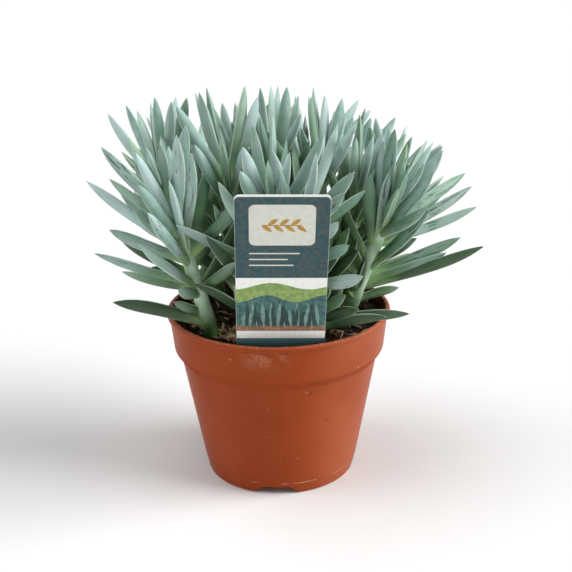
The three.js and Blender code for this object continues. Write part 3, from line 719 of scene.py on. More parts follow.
def leaf_material():
    """A matt pale bloom on green flesh, rubbed off in streaks, with painted shade (green flesh inside the
    bush and on the lower sides of the leaves, partly worn there, and darker low leaves) and a painted
    highlight along the edges.
    """
    m = Skin("bloomed_leaf", 0.6, 0.35)
    share, across, along, face, seed, rub, green, young, outer = (m.value_of(name) for name in LEAF_VALUES)
    cloud = m.noise(70, 3)
    tone = m.math("ADD", m.times(cloud, 0.7), m.times(seed, 0.45))
    bloom = m.mix(m.stretch(tone, 0.3, 0.85), (124, 157, 145), (189, 211, 211))
    hue = m.math("FRACT", m.times(seed, 7))
    bloom = m.mix(m.stretch(hue, 0.6, 1.0, 0.0, 0.4), bloom, (148, 180, 140))
    flesh = m.mix(m.stretch(cloud, 0.35, 0.65), (82, 120, 64), (50, 84, 38))
    # Painted shade: deep inside the bush the bloom gives way to darker green flesh.
    inside = m.stretch(outer, 0.9, 0.54, 0.0, 0.9)
    # Painted shade on the lower side of each leaf, where the flesh shows, partly as bloom worn off, more on
    # rubbed stems.
    under = m.times(m.stretch(across, 0.15, -0.6), m.ramp(rub, 0.16, 0.36))
    bare_and_shaded = m.math("MAXIMUM", m.times(green, 0.85), m.math("MAXIMUM", inside, under))
    m.skin = m.mix(bare_and_shaded, bloom, flesh)
    # Painted shade: the greenest leaves, mostly the low ones near the soil, are darkened to deep green.
    m.paint(m.stretch(green, 0.5, 1.0, 0.0, 0.7), (30, 54, 24))
    m.paint(m.stretch(share, 0.36, 0.06), (154, 188, 126), 0.6)

    own_place = m.math("ADD", m.times(seed, 80), m.times(face, 5))
    streaks = m.noise(1.0, 6, 0.66, m.vector(m.times(along, 0.1), m.times(across, 4.0), own_place))
    edge = m.ramp(rub, 0.69, 0.52)
    rubbed = m.stretch(streaks, edge, m.math("ADD", edge, 0.05))
    m.paint(rubbed, (40, 68, 34), 0.85)
    # A pale line along both edges of each leaf, partly the leaf's pale margin and partly painted highlight.
    m.paint(m.stretch(m.math("ABSOLUTE", across), 0.88, 0.98), (208, 226, 208), 0.6)
    m.paint(young, (112, 148, 62), 0.75)
    m.paint(m.stretch(share, 0.975, 0.995), (206, 204, 172), 0.7)
    m.bump(m.noise(2600), 0.12, 0.0002)
    return m.finish(m.ramp(rubbed, 0.58, 0.36))


def stem_material():
    """Smooth pale skin that turns dark green near the soil."""
    m = Skin("stem_skin", 0.55, 0.3)
    patches = m.stretch(m.noise(120, 3), 0.35, 0.7)
    pale = m.mix(patches, (150, 184, 146), (192, 214, 192))
    dark = m.mix(patches, (56, 88, 36), (104, 138, 78))
    m.skin = m.mix(m.stretch(m.value_of("share"), 0.02, 0.22), dark, pale)
    m.bump(m.noise(700), 0.15, 0.0003)
    return m.finish()


# Leaves and stems as fine bodies


FOOT_FLARE = 0.6
FOOT_FLARE_SHARE = 0.14
SLIMNESS = 0.95
TIP_FULLNESS = 0.4
RING_CROWDING = 1.35
LEAF_WANDER = 0.35
EDGE_KEENNESS = 1.45
STEM_SLIMNESS = 0.93
STEM_RIPPLE = 0.03


def fine_leaf_rings(leaves, k, wander):
    """Rings of leaf k from its foot to just before its tip, the share of each, and the angles around it."""
    u = np.linspace(0, 1, LEAF_RINGS + 1)[:-1]
    s = 1 - (1 - u) ** RING_CROWDING
    centre = leaf_points(*(leaves[key][k][None] for key in ("foot", "middle", "tip")), s)[0]
    wave = wander * np.sin(math.pi * s) * np.sin(2.2 * math.pi * s + 5 * wander)
    centre += wave[:, None] * leaves["flat"][k]
    angle = np.linspace(0, 2 * math.pi, LEAF_SIDES, endpoint=False)
    at_foot = 1 + FOOT_FLARE * np.exp(-((s / FOOT_FLARE_SHARE) ** 2))
    finger = at_foot * (SLIMNESS + TIP_FULLNESS * s**4)
    wide = (half_width(leaves, k, s) * finger)[:, None] * np.cos(angle)
    through = np.sign(np.sin(angle)) * np.abs(np.sin(angle)) ** EDGE_KEENNESS
    thick = (half_thickness(leaves, k, s) * at_foot)[:, None] * through
    rings = centre[:, None] + wide[..., None] * leaves["wide"][k] + thick[..., None] * leaves["flat"][k]
    return rings, s, angle


def stem_rings(line, draws):
    """Rings of a stem from its blunt end in the soil to just before its bud, and the share of each."""
    start, _, end = line
    sunk = start.copy()
    sunk[2] = SOIL_TOP - STEM_DEPTH_IN_SOIL
    angle = np.linspace(0, 2 * math.pi, STEM_SIDES, endpoint=False)[:, None]
    shares = [0, 0] + [r / STEM_RINGS for r in range(STEM_RINGS + 1)]
    centres = [sunk, start + (sunk - start) * 0.2] + [stem_point(line, t) for t in shares[2:]]
    rings = []
    for r, (t, centre) in enumerate(zip(shares, centres), -2):
        first, second = across_stem(stem_direction(line, t) if r > 0 else UP)
        ripple = STEM_RIPPLE * np.sin(3 * angle + r * 0.9)
        radius = stem_radius(t) * (STEM_SLIMNESS + ripple + draws.between(-0.015, 0.02))
        rings.append(centre + radius * (np.cos(angle) * first + np.sin(angle) * second))
    return np.array(rings), shares


# Stems whose leaves have lost much of their bloom
RUBBED_STEMS = {"right": 0.72, "front_right": 0.45, "front_left": 0.45}
RUBBED_ELSEWHERE = 0.08

# Leaves turn green below this share of their stem
GREEN_BELOW = 0.45

# The bush as a round body, inside which the leaves get painted shade: green flesh in place of the bloom
BUSH_MIDDLE = np.array([-3.0, 0.0, 125.0])
BUSH_RADII = np.array([118.0, 90.0, 104.0])

# Stems of which one of the top leaves is still young and green, and a side shoot: its stem, share and tip
YOUNG_STEMS = ("front_centre", "left", "right", "centre_right")
YOUNG_ABOVE = 0.8
SIDE_SHOOT_STEM = "right"
SIDE_SHOOT_SHARE = 0.13
SIDE_SHOOT_TIP = (39.5, -14.5, 113.5)
SIDE_SHOOT_SIZE = 0.8


def from_bush_middle(points):
    """How far points lie from the middle of the bush, as a share of the way to its outside."""
    return lengths((points - BUSH_MIDDLE) / BUSH_RADII)


def choose_young_leaves(leaves):
    names = list(STEMS)
    leaves["young"] = np.zeros(len(leaves["t"]), bool)
    for name in YOUNG_STEMS:
        own = leaves["kept"] & (leaves["stem"] == names.index(name))
        fresh = np.nonzero(own & ~leaves["seen"] & (leaves["t"] > YOUNG_ABOVE))[0]
        leaves["young"][fresh[:1]] = True


def add_side_shoot(leaves, lines):
    """A short young leaf at the front of one stem."""
    for key in leaves:
        leaves[key] = np.concatenate([leaves[key], leaves[key][:1]])
    index = list(STEMS).index(SIDE_SHOOT_STEM)
    foot = stem_point(lines[index], SIDE_SHOOT_SHARE)
    grow = stem_direction(lines[index], SIDE_SHOOT_SHARE)
    chord = np.array(SIDE_SHOOT_TIP) - foot
    values = {
        "stem": index, "t": SIDE_SHOOT_SHARE, "foot": foot, "grow": grow, "tip": foot + chord,
        "outward": unit(chord - grow * dots(chord, grow)), "length": lengths(chord), "size": SIDE_SHOOT_SIZE,
        "twist": math.pi / 2, "kept": True, "young": True,
    }
    for key, value in values.items():
        leaves[key][-1] = value
    shape_leaves(leaves)


def make_leafy_stem(name, line, leaves, index, materials, draws):
    rings, shares = stem_rings(line, draws)
    bud = line[2] + stem_direction(line, 1) * BUD_LENGTH
    points = [rings.reshape(-1, 3), bud[None]]
    faces = ring_faces(len(rings), STEM_SIDES, 0)
    face_materials = [1] * len(faces)
    values = {key: [np.zeros(len(rings) * STEM_SIDES + 1)] for key in LEAF_VALUES}
    values["share"] = [np.append(np.repeat(shares, STEM_SIDES), 1.0)]
    for k in np.nonzero(leaves["kept"] & (leaves["stem"] == index))[0]:
        rings, s, angle = fine_leaf_rings(leaves, k, draws.around(LEAF_WANDER))
        leaf_faces = ring_faces(len(rings), LEAF_SIDES, sum(len(part) for part in points))
        points += [rings.reshape(-1, 3), leaves["tip"][k][None]]
        faces += leaf_faces
        face_materials += [0] * len(leaf_faces)
        share = np.append(np.repeat(s, LEAF_SIDES), 1.0)
        around = np.tile(angle, len(s))
        seed = draws.between(0, 1)
        rub = max(0.0, RUBBED_STEMS.get(name, RUBBED_ELSEWHERE) + draws.between(-0.35, 0.3))
        low = (1.9 - 1.4 * seed) * max(0.0, 1 - leaves["t"][k] / GREEN_BELOW)
        green = min(low + 0.5 * max(0.0, draws.between(-0.9, 1.0)), 1.0)
        own_values = {
            "share": share, "across": np.append(np.cos(around), 0.0), "along": share * leaves["length"][k],
            "face": np.append(np.sign(np.sin(around)), 0.0), "seed": seed, "rub": rub, "green": green,
            "young": leaves["young"][k],
        }
        for key, value in own_values.items():
            values[key].append(np.broadcast_to(value, len(share)))
    values["outer"] = [from_bush_middle(part) for part in points]
    node = "leafy_stem_" + name
    piece = add_object(node + "_grown", np.concatenate(points), faces, materials, True, face_materials)
    for key, parts in values.items():
        add_values(piece, key, np.concatenate(parts))
    place(piece, "leaf", node)


def make_plant():
    lines = [stem_line(foot, top) for foot, top, _, _ in STEMS.values()]
    joints = np.linspace(0, 1, TRUNK_PIECES + 1)
    trunks = [np.array([stem_point(line, t) for t in joints]) for line in lines]
    leaves = grow_leaves(lines)
    part_leaves(leaves, trunks)
    narrow_leaves(leaves, trunks)
    choose_young_leaves(leaves)
    add_side_shoot(leaves, lines)
    materials = [leaf_material(), stem_material()]
    draws = Draws(40961)
    for index, (name, line) in enumerate(zip(STEMS, lines)):
        make_leafy_stem(name, line, leaves, index, materials, draws)


# Pot


def rounded(profile, radius):
    """The profile with its corners rounded, apart from its ends."""
    points = [Vector(profile[0])]
    for before, corner, after in zip(profile, profile[1:], profile[2:]):
        corner = Vector(corner)
        back = Vector(before) - corner
        ahead = Vector(after) - corner
        cut = min(radius, back.length * LARGEST_CUT, ahead.length * LARGEST_CUT)
        start = corner + back.normalized() * cut
        end = corner + ahead.normalized() * cut
        for step in range(CORNER_STEPS):
            t = step / (CORNER_STEPS - 1)
            points.append(start * (1 - t) ** 2 + corner * (2 * t * (1 - t)) + end * t * t)
    points.append(Vector(profile[-1]))
    return points


def turned(name, profile, sides, materials):
    """A turned body from a profile that starts and ends on the axis."""
    rings = profile[1:-1]
    points = [(0.0, 0.0, profile[0][1])]
    for r, z in rings:
        points += [(x, y, z) for x, y in arc(0, 0, r, 0, 360, sides)[:-1]]
    points.append((0.0, 0.0, profile[-1][1]))
    last = 1 + (len(rings) - 1) * sides
    faces = []
    for k in range(sides):
        after = (k + 1) % sides
        faces.append((0, 1 + after, 1 + k))
        for low in range(1, last, sides):
            faces.append((low + k, low + after, low + sides + after, low + sides + k))
        faces.append((last + k, last + after, last + sides))
    return add_object(name, points, faces, materials)


def channel_solid(name, grow, start, end, turn):
    top = CHANNEL_WIDTH / 2 + grow
    foot = top + CHANNEL_FLARE
    roof = CHANNEL_HEIGHT + grow
    outline = [(-foot, -CUT_BELOW), (foot, -CUT_BELOW), (top, roof), (-top, roof)]
    turned_by = Matrix.Rotation(turn, 3, "Z")
    points = [turned_by @ Vector((x, y, z)) for x in (start, end) for y, z in outline]
    return add_object(name, points, prism_faces(len(outline)), [], smooth=False)


def drain_hole(name, turn):
    middle = Vector((math.cos(turn), math.sin(turn), 0)) * DRAIN_HOLE_REACH
    circle = arc(middle.x, middle.y, DRAIN_HOLE_RADIUS, 0, 360, DRAIN_HOLE_SIDES)[:-1]
    points = [(x, y, z) for z in (-CUT_BELOW, CUT_ABOVE - CUT_BELOW) for x, y in circle]
    return add_object(name, points, prism_faces(DRAIN_HOLE_SIDES), [], smooth=False)


def join_or_cut(piece, tool, operation):
    """One boolean, applied, after which the tool is gone."""
    modifier = piece.modifiers.new(operation.lower(), "BOOLEAN")
    modifier.operation = operation
    modifier.object = tool
    modifier.solver = "EXACT"
    bpy.context.view_layer.update()
    shown = piece.evaluated_get(bpy.context.evaluated_depsgraph_get())
    mesh = bpy.data.meshes.new_from_object(shown)
    piece.modifiers.clear()
    piece.data = mesh
    bpy.data.objects.remove(tool)


def sharpen(piece, angle):
    """Smooth shading with sharp edges where faces meet at more than the angle."""
    mesh = bmesh.new()
    mesh.from_mesh(piece.data)
    for edge in mesh.edges:
        edge.smooth = not (edge.is_manifold and edge.calc_face_angle(0) > angle)
    mesh.to_mesh(piece.data)
    mesh.free()


# Marks and painted sheen on the pot: turns in radians from the front towards +X, and heights
WATER_MARK_TURN = -0.13
WATER_MARK_REACH = 0.27
WATER_MARK_FOOT = 83
WATER_MARK_TOP = 95.5
WORN_FOOT_TURN = 0.38
PAINTED_SHEEN_TURN = 0.85


def pot_material():
    """Satin terracotta-coloured plastic with a water mark under the lip, specks, a worn foot, a worn rim top
    with pale chips and a painted highlight, a painted sheen on the lit right side, and painted shade in the
    crease under the band.
    """
    m = Skin("terracotta_plastic", 0.4, 0.09)
    x, y, z = m.node("SeparateXYZ", {"Vector": m.space})
    height = m.math("DIVIDE", z, MM)
    turn = m.math("ARCTAN2", x, m.times(y, -1))
    out = m.math("DIVIDE", m.math("SQRT", m.math("ADD", m.times(x, x), m.times(y, y))), MM)
    broad = m.noise(22)
    m.skin = m.mix(m.stretch(broad, 0.3, 0.7), (142, 58, 22), (149, 64, 27))
    # Painted sheen: a faint patchy pale tan on the lit front-right side.
    painted_sheen = m.stretch(m.apart(turn, PAINTED_SHEEN_TURN), 0.75, 0.1)
    m.paint(m.times(painted_sheen, m.stretch(broad, 0.2, 0.7, 0.035, 0.075)), (226, 176, 142))

    beside = m.stretch(m.apart(turn, WATER_MARK_TURN), WATER_MARK_REACH, 0.04)
    above = m.stretch(height, WATER_MARK_FOOT, WATER_MARK_TOP - 2)
    under_lip = m.stretch(height, WATER_MARK_TOP + 0.5, WATER_MARK_TOP)
    patchy = m.stretch(m.noise(160, 4, 0.65), 0.42, 0.62)
    m.paint(m.times(beside, above, under_lip, patchy), (206, 156, 128), 0.28)

    crease = m.stretch(m.apart(height, FOOT_HEIGHT - 0.1), 0.5, 0.15)
    broken = m.stretch(m.noise(130, 3, 0.6), 0.5, 0.58)
    worn_side = m.stretch(m.apart(turn, WORN_FOOT_TURN), 1.3, 0.1)
    m.paint(m.times(crease, broken, worn_side), (214, 160, 136), 0.8)

    # Painted highlight along the rim top, with worn pale chips in it.
    on_rim = m.stretch(height, POT_HEIGHT - 1.1, POT_HEIGHT - 0.1)
    chips_and_highlight = m.stretch(m.noise(420, 4, 0.7), 0.5, 0.66, 0.25, 0.8)
    m.paint(m.times(on_rim, chips_and_highlight), (222, 146, 112), 0.6)
    wall = BAND_TOP_RADIUS - POT_WALL
    inner = m.times(m.stretch(out, wall + 0.4, wall + 0.1), m.stretch(height, 90, 92))
    dust = m.stretch(m.noise(240, 4, 0.7), 0.7, 0.25, 0.5, 0.95)
    m.paint(m.times(inner, dust), (34, 20, 13))
    near_top = m.stretch(height, POT_HEIGHT - 1.2, POT_HEIGHT - 0.4)
    lip = m.times(m.stretch(out, wall + 1.0, wall + 0.4), near_top)
    torn = m.noise(520, 4, 0.7)
    m.paint(m.times(lip, m.stretch(torn, 0.48, 0.4, 0.0, 0.75)), (44, 26, 17))
    m.paint(m.times(lip, m.stretch(torn, 0.55, 0.6, 0.0, 0.85)), (238, 208, 190))

    m.paint(m.stretch(m.noise(380, 0), 0.84, 0.86), (80, 40, 26), 0.6)
    m.paint(m.stretch(m.noise(380, 0, place=m.vector(y, z, x)), 0.855, 0.875), (196, 136, 100), 0.5)
    m.bump(m.noise(1500), 0.04, 0.0002)
    # Painted shade: the crease of the ledge under the band is darkened a little and made rougher.
    ledge_shade = m.stretch(m.apart(height, BAND_FOOT - LEDGE_DEPTH / 2), 3.6, 2.4)
    m.paint(ledge_shade, (104, 40, 16), 0.1)
    return m.finish(m.ramp(ledge_shade, 0.4, 0.8))


def inner_wall(inset):
    """Profile of the body from its foot to its band, this far inside the outer surface."""
    return [
        (BODY_FOOT_RADIUS - inset, FOOT_HEIGHT + INNER_RISE),
        (BODY_TOP_RADIUS - inset, LEDGE_FOOT + INNER_RISE),
        (BAND_FOOT_RADIUS - inset, BAND_FOOT + INNER_RISE),
    ]


def make_pot(material):
    profile = [
        (0, 0),
        (BASE_RADIUS, 0),
        (FOOT_RADIUS, FOOT_HEIGHT - FOOT_STEP),
        (BODY_FOOT_RADIUS, FOOT_HEIGHT),
        (BODY_TOP_RADIUS, LEDGE_FOOT),
        (BAND_FOOT_RADIUS, BAND_FOOT),
        (BAND_TOP_RADIUS, POT_HEIGHT - RIM_DEPTH),
        (RIM_RADIUS, POT_HEIGHT - RIM_DEPTH + RIM_SLOPE),
        (RIM_RADIUS, POT_HEIGHT - RIM_ROUND),
        (RIM_RADIUS - RIM_ROUND, POT_HEIGHT),
        (BAND_TOP_RADIUS - POT_WALL, POT_HEIGHT),
        *reversed(inner_wall(POT_WALL)),
        (BASE_RADIUS - POT_WALL, POT_WALL),
        (0, POT_WALL),
    ]
    pot = turned("pot_moulded", rounded(profile, CORNER_ROUND), POT_SIDES, [material])
    turns = [CHANNEL_TURN + i * 2 * math.pi / CHANNEL_COUNT for i in range(CHANNEL_COUNT)]
    half_wall = POT_WALL / 2
    mid_wall = [
        (0, half_wall),
        (BASE_RADIUS - half_wall, half_wall),
        inner_wall(half_wall)[0],
        (0, FOOT_HEIGHT + INNER_RISE),
    ]
    for i, turn in enumerate(turns):
        roof = channel_solid(f"roof_{i}", POT_WALL, CHANNEL_START - POT_WALL, BASE_RADIUS, turn)
        join_or_cut(roof, turned(f"inside_{i}", mid_wall, POT_SIDES, []), "INTERSECT")
        join_or_cut(pot, roof, "UNION")
    for i, turn in enumerate(turns):
        join_or_cut(pot, channel_solid(f"channel_{i}", 0, CHANNEL_START, RIM_RADIUS, turn), "DIFFERENCE")
        join_or_cut(pot, drain_hole(f"hole_{i}", turn), "DIFFERENCE")
    sharpen(pot, SHARP_EDGE)
    place(pot, "pot_plastic", "pot")


# Soil


def soil_bump(x, y):
    wave = math.sin(0.31 * x + 0.7) * math.cos(0.27 * y - 0.4) + 0.6 * math.sin(0.17 * (x + y) + 2)
    return SOIL_BUMP_HEIGHT * wave / 1.6


def soil_height(x, y):
    """The crumbly top of the soil."""
    lumps = noise.fractal(Vector((x * 0.16, y * 0.16, 0.3)), 0.8, 2.1, 3)
    crumbs = noise.fractal(Vector((x * 0.6, y * 0.6, 4.2)), 0.7, 2.1, 3)
    return SOIL_TOP + soil_bump(x, y) + 0.9 * lumps + 0.55 * crumbs


def soil_material():
    """Dark peat with pale grains, and crumbs that are browner the higher their own shade."""
    m = Skin("damp_peat", 0.9, 0.2)
    coarse = m.noise(350, 5, 0.7)
    m.skin = m.mix(m.stretch(coarse, 0.35, 0.7), (18, 13, 9), (52, 38, 27))
    m.paint(m.stretch(m.noise(1800, 3, 0.6), 0.62, 0.75), (104, 80, 54), 0.5)
    m.paint(m.stretch(m.value_of("shade"), 0.6, 1.0, 0.0, 0.75), (104, 68, 48))
    m.bump(coarse, 0.9, 0.0015)
    return m.finish()


def litter_material():
    """Bark and coir, from dark brown to tan by each piece's own shade."""
    m = Skin("bark_and_fibre", 0.8, 0.2)
    m.skin = m.mix(m.stretch(m.value_of("shade"), 0.3, 1.0), (48, 33, 22), (208, 174, 134))
    m.paint(m.noise(900, 3), (60, 44, 30), 0.5)
    m.bump(m.noise(1200, 3), 0.5, 0.0006)
    return m.finish()


def make_soil(material):
    slope = (BAND_TOP_RADIUS - BAND_FOOT_RADIUS) / (BAND_DEPTH - RIM_DEPTH)
    inset = POT_WALL + SOIL_GAP
    edge = SOIL_TOP - SOIL_BUMP_HEIGHT
    top_radius = BAND_FOOT_RADIUS - inset + slope * (edge - POT_HEIGHT + BAND_DEPTH)
    bottom = POT_WALL + CHANNEL_HEIGHT + MEETING_GAP + FINE_INSET
    profile = [
        (0, bottom),
        (BASE_RADIUS - inset, bottom),
        *inner_wall(inset),
        (top_radius, edge - SHOULDER_HEIGHT),
    ]
    for ring in range(SOIL_RINGS, -1, -1):
        profile.append(((top_radius - FINE_INSET) * ring / SOIL_RINGS, SOIL_TOP))
    soil = turned("soil_bed", profile, SOIL_SIDES, [material])
    for vertex in soil.data.vertices:
        if vertex.co.z > (SOIL_TOP - 0.01) * MM:
            vertex.co.z = soil_height(vertex.co.x / MM, vertex.co.y / MM) * MM
    place(soil, "peat", "soil")
    return top_radius


CRUMB_COUNT = 1300
CRUMB_SMALLEST = 0.4
CRUMB_LARGEST = 1.9
CRUMB_FROM_WALL = 1.5
CRUMB_ROUGHNESS = 0.35


def spot(draws, radius):
    """A place in a round field, drawn evenly."""
    out = radius * math.sqrt(draws.between(0, 1))
    turn = draws.between(0, 2 * math.pi)
    return out * math.cos(turn), out * math.sin(turn)


def make_crumbs(material, radius, draws):
    """Crumbs of peat on the soil, each a small knobbly ball."""
    ball = bmesh.new()
    bmesh.ops.create_icosphere(ball, subdivisions=1, radius=1)
    shape = np.array([v.co for v in ball.verts])
    ball_faces = [[v.index for v in face.verts] for face in ball.faces]
    ball.free()
    points = []
    faces = []
    for i in range(CRUMB_COUNT):
        x, y = spot(draws, radius - CRUMB_FROM_WALL)
        size = CRUMB_SMALLEST + (CRUMB_LARGEST - CRUMB_SMALLEST) * draws.between(0, 1) ** 2.5
        waves = np.array([noise.noise(Vector(p) * 2 + Vector((i, 0, 0))) for p in shape])
        rough = 1 + CRUMB_ROUGHNESS * waves
        squash = np.array([draws.between(0.8, 1.3), draws.between(0.8, 1.3), draws.between(0.6, 0.9)])
        centre = np.array([x, y, soil_height(x, y) + size * 0.35])
        faces += [[i * len(shape) + k for k in face] for face in ball_faces]
        points.append(shape * rough[:, None] * squash * size + centre)
    crumbs = add_object("soil_crumbs", np.concatenate(points), faces, [material])
    add_values(crumbs, "shade", np.repeat([draws.between(0, 1) for _ in range(CRUMB_COUNT)], len(shape)))
    place(crumbs, "peat")


# Fibres and bark chips on the soil: how many, lengths, half thicknesses, and share in the heap by the label
FIBRES = {"count": 190, "length": (5, 17), "thick": (0.16, 0.4), "heaped": 0.14}
CHIPS = {"count": 80, "length": (5, 12), "thick": (0.5, 1.1), "heaped": 0.35}
LITTER_FROM_WALL = 6
CURL = 0.16
LITTER_STEPS = 7
LITTER_SIDES = 5
HEAP = (-26, -33)
HEAP_RADIUS = 9


def make_litter(name, kind, material, radius, draws):
    """Pieces of coir or bark that lie about on the soil, with a heap of them left of the label."""
    points = []
    faces = []
    shades = []
    angle = np.linspace(0, 2 * math.pi, LITTER_SIDES, endpoint=False)[:, None]
    for i in range(kind["count"]):
        in_heap = i < kind["count"] * kind["heaped"]
        x, y = spot(draws, HEAP_RADIUS if in_heap else radius - LITTER_FROM_WALL)
        if in_heap:
            x += HEAP[0]
            y += HEAP[1]
        heading = draws.between(0, math.pi)
        curl = draws.around(CURL)
        length = draws.between(*kind["length"])
        thick = draws.between(*kind["thick"])
        lift = draws.between(0.2, 2.0 if in_heap else 0.9)
        faces += ring_faces(LITTER_STEPS, LITTER_SIDES, sum(len(part) for part in points))
        for step in range(LITTER_STEPS):
            share = step / (LITTER_STEPS - 1)
            z = soil_height(x, y) + lift + 0.5 * math.sin(math.pi * share)
            side = np.array([-math.sin(heading), math.cos(heading), 0])
            fat = thick * (0.35 + 0.65 * math.sin(math.pi * min(0.95, max(0.08, share))))
            around = np.cos(angle) * side * 1.6 + np.sin(angle) * np.array([0, 0, 0.6])
            points.append(np.array([x, y, z]) + fat * around)
            x += length / LITTER_STEPS * math.cos(heading)
            y += length / LITTER_STEPS * math.sin(heading)
            if math.hypot(x, y) > radius - 2:
                heading += 0.9
            heading += curl
        points.append(np.array([[x, y, z]]))
        shades.append(np.full(LITTER_STEPS * LITTER_SIDES + 1, draws.between(0.55 if in_heap else 0, 1)))
    litter = add_object(name, np.concatenate(points), faces, [material])
    add_values(litter, "shade", np.concatenate(shades))
    place(litter, "peat")


# Label


def label_point(x, y, off=0.0):
    """A point of the card: x across and y up from the card's foot, off in front of its middle plane."""
    across, up, front = label_ways()
    return LABEL_FOOT + across * x + up * y + front * off


def rounded_rectangle(left, right, foot, top, corner, steps=6):
    x = (right - corner, right - corner, left + corner, left + corner)
    y = (foot + corner, top - corner, top - corner, foot + corner)
    return [point for k in range(4) for point in arc(x[k], y[k], corner, 90 * k - 90, 90 * k, steps)]


def label_outline():
    half = LABEL_WIDTH / 2
    stick = STICK_WIDTH / 2
    outline = [(0, -STICK_LENGTH), (stick, STICK_POINT - STICK_LENGTH), (stick, 0)]
    outline += rounded_rectangle(-half, half, 0, LABEL_HEIGHT, LABEL_CORNER, 8)
    return outline + [(-stick, 0), (-stick, STICK_POINT - STICK_LENGTH)]


def plates(name, pieces, materials):
    """Flat plates on the card: each an outline, two distances in front of the middle plane and a material."""
    points = []
    faces = []
    face_materials = []
    for outline, low, high, material in pieces:
        new_faces = prism_faces(len(outline), len(points))
        points += [label_point(x, y, off) for off in (low, high) for x, y in outline]
        faces += new_faces
        face_materials += [material] * len(new_faces)
    return add_object(name, points, faces, materials, False, face_materials)


def card_material():
    m = Skin("label_card", 0.45, 0.4)
    m.skin = colour(226, 228, 222)
    m.bump(m.noise(900), 0.05, 0.0002)
    return m.finish()


def ink_material(name, light, dark):
    """Satin print with a faint mottling between two colours."""
    m = Skin(name, 0.4, 0.35)
    m.skin = m.mix(m.stretch(m.noise(420, 4, 0.6), 0.38, 0.62), light, dark)
    return m.finish()


# The print, a plain design: a pale field with a twig, short lines, each with its height and its right end,
# and a strip of grass and hills
PRINT_THICKNESS = 0.04
PRINT_MARGIN = 0.15
TOP_MARGIN = 0.95
PANEL_FOOT = 70
PANEL_TOP = 95
PANEL_HALF = 16.5
PANEL_CORNER = 3
TWIG_HALF = 10
TWIG_THICKNESS = 0.6
TWIG_LEAVES = 7
TWIG_LEAF_LENGTH = 6.5
TWIG_LEAF_WIDTH = 2.4
TWIG_LEAF_LEAN = 0.9
LINE_THICKNESS = 0.8
LINES_LEFT = -16.5
LINES = {64.5: 9, 60.7: 3, 56.9: 6}
STRIP_FOOT = 12.6
STRIP_TOP = 49
WHITE_FOOT = 7.3
BLADE_COUNT = 34
BLADE_FOOT = STRIP_FOOT + 2.5
BLADE_LENGTHS = (11, 20)
BLADE_WIDTH = 2.0
BLADE_LEAN = 0.18
BLADES_FROM_EDGE = 3.5

# Each hill's ink, with the middle height of its top, its rise and its bends
HILLS = {
    "light_green": (STRIP_TOP - 5.5, 2.2, 2.4),
    "blue_green": (STRIP_TOP - 14, 2.4, 3.1),
    "brown": (STRIP_FOOT + 5, 1.0, 2.0),
}


def rectangle(left, right, foot, top):
    return [(left, foot), (right, foot), (right, top), (left, top)]


def blade(x, y, length, width, lean):
    """The outline of a pointed blade from its foot, leaning to the right by the angle."""
    steps = 7
    outline = []
    for side, order in ((1, range(steps)), (-1, range(steps, 0, -1))):
        for k in order:
            up = length * k / steps
            out = side * width / 2 * math.sin(math.pi * (k + 0.4) / (steps + 0.4))
            outline.append((x + out * math.cos(lean) + up * math.sin(lean),
                            y - out * math.sin(lean) + up * math.cos(lean)))
    return outline


def hill(left, right, foot, middle, rise, bends):
    """An outline with a level foot and a wavy top."""
    steps = 24
    top = []
    for k in range(steps + 1):
        x = right + (left - right) * k / steps
        top.append((x, middle + rise * math.sin(bends * x / (right - left) * math.pi + bends)))
    return [(left, foot), (right, foot)] + top


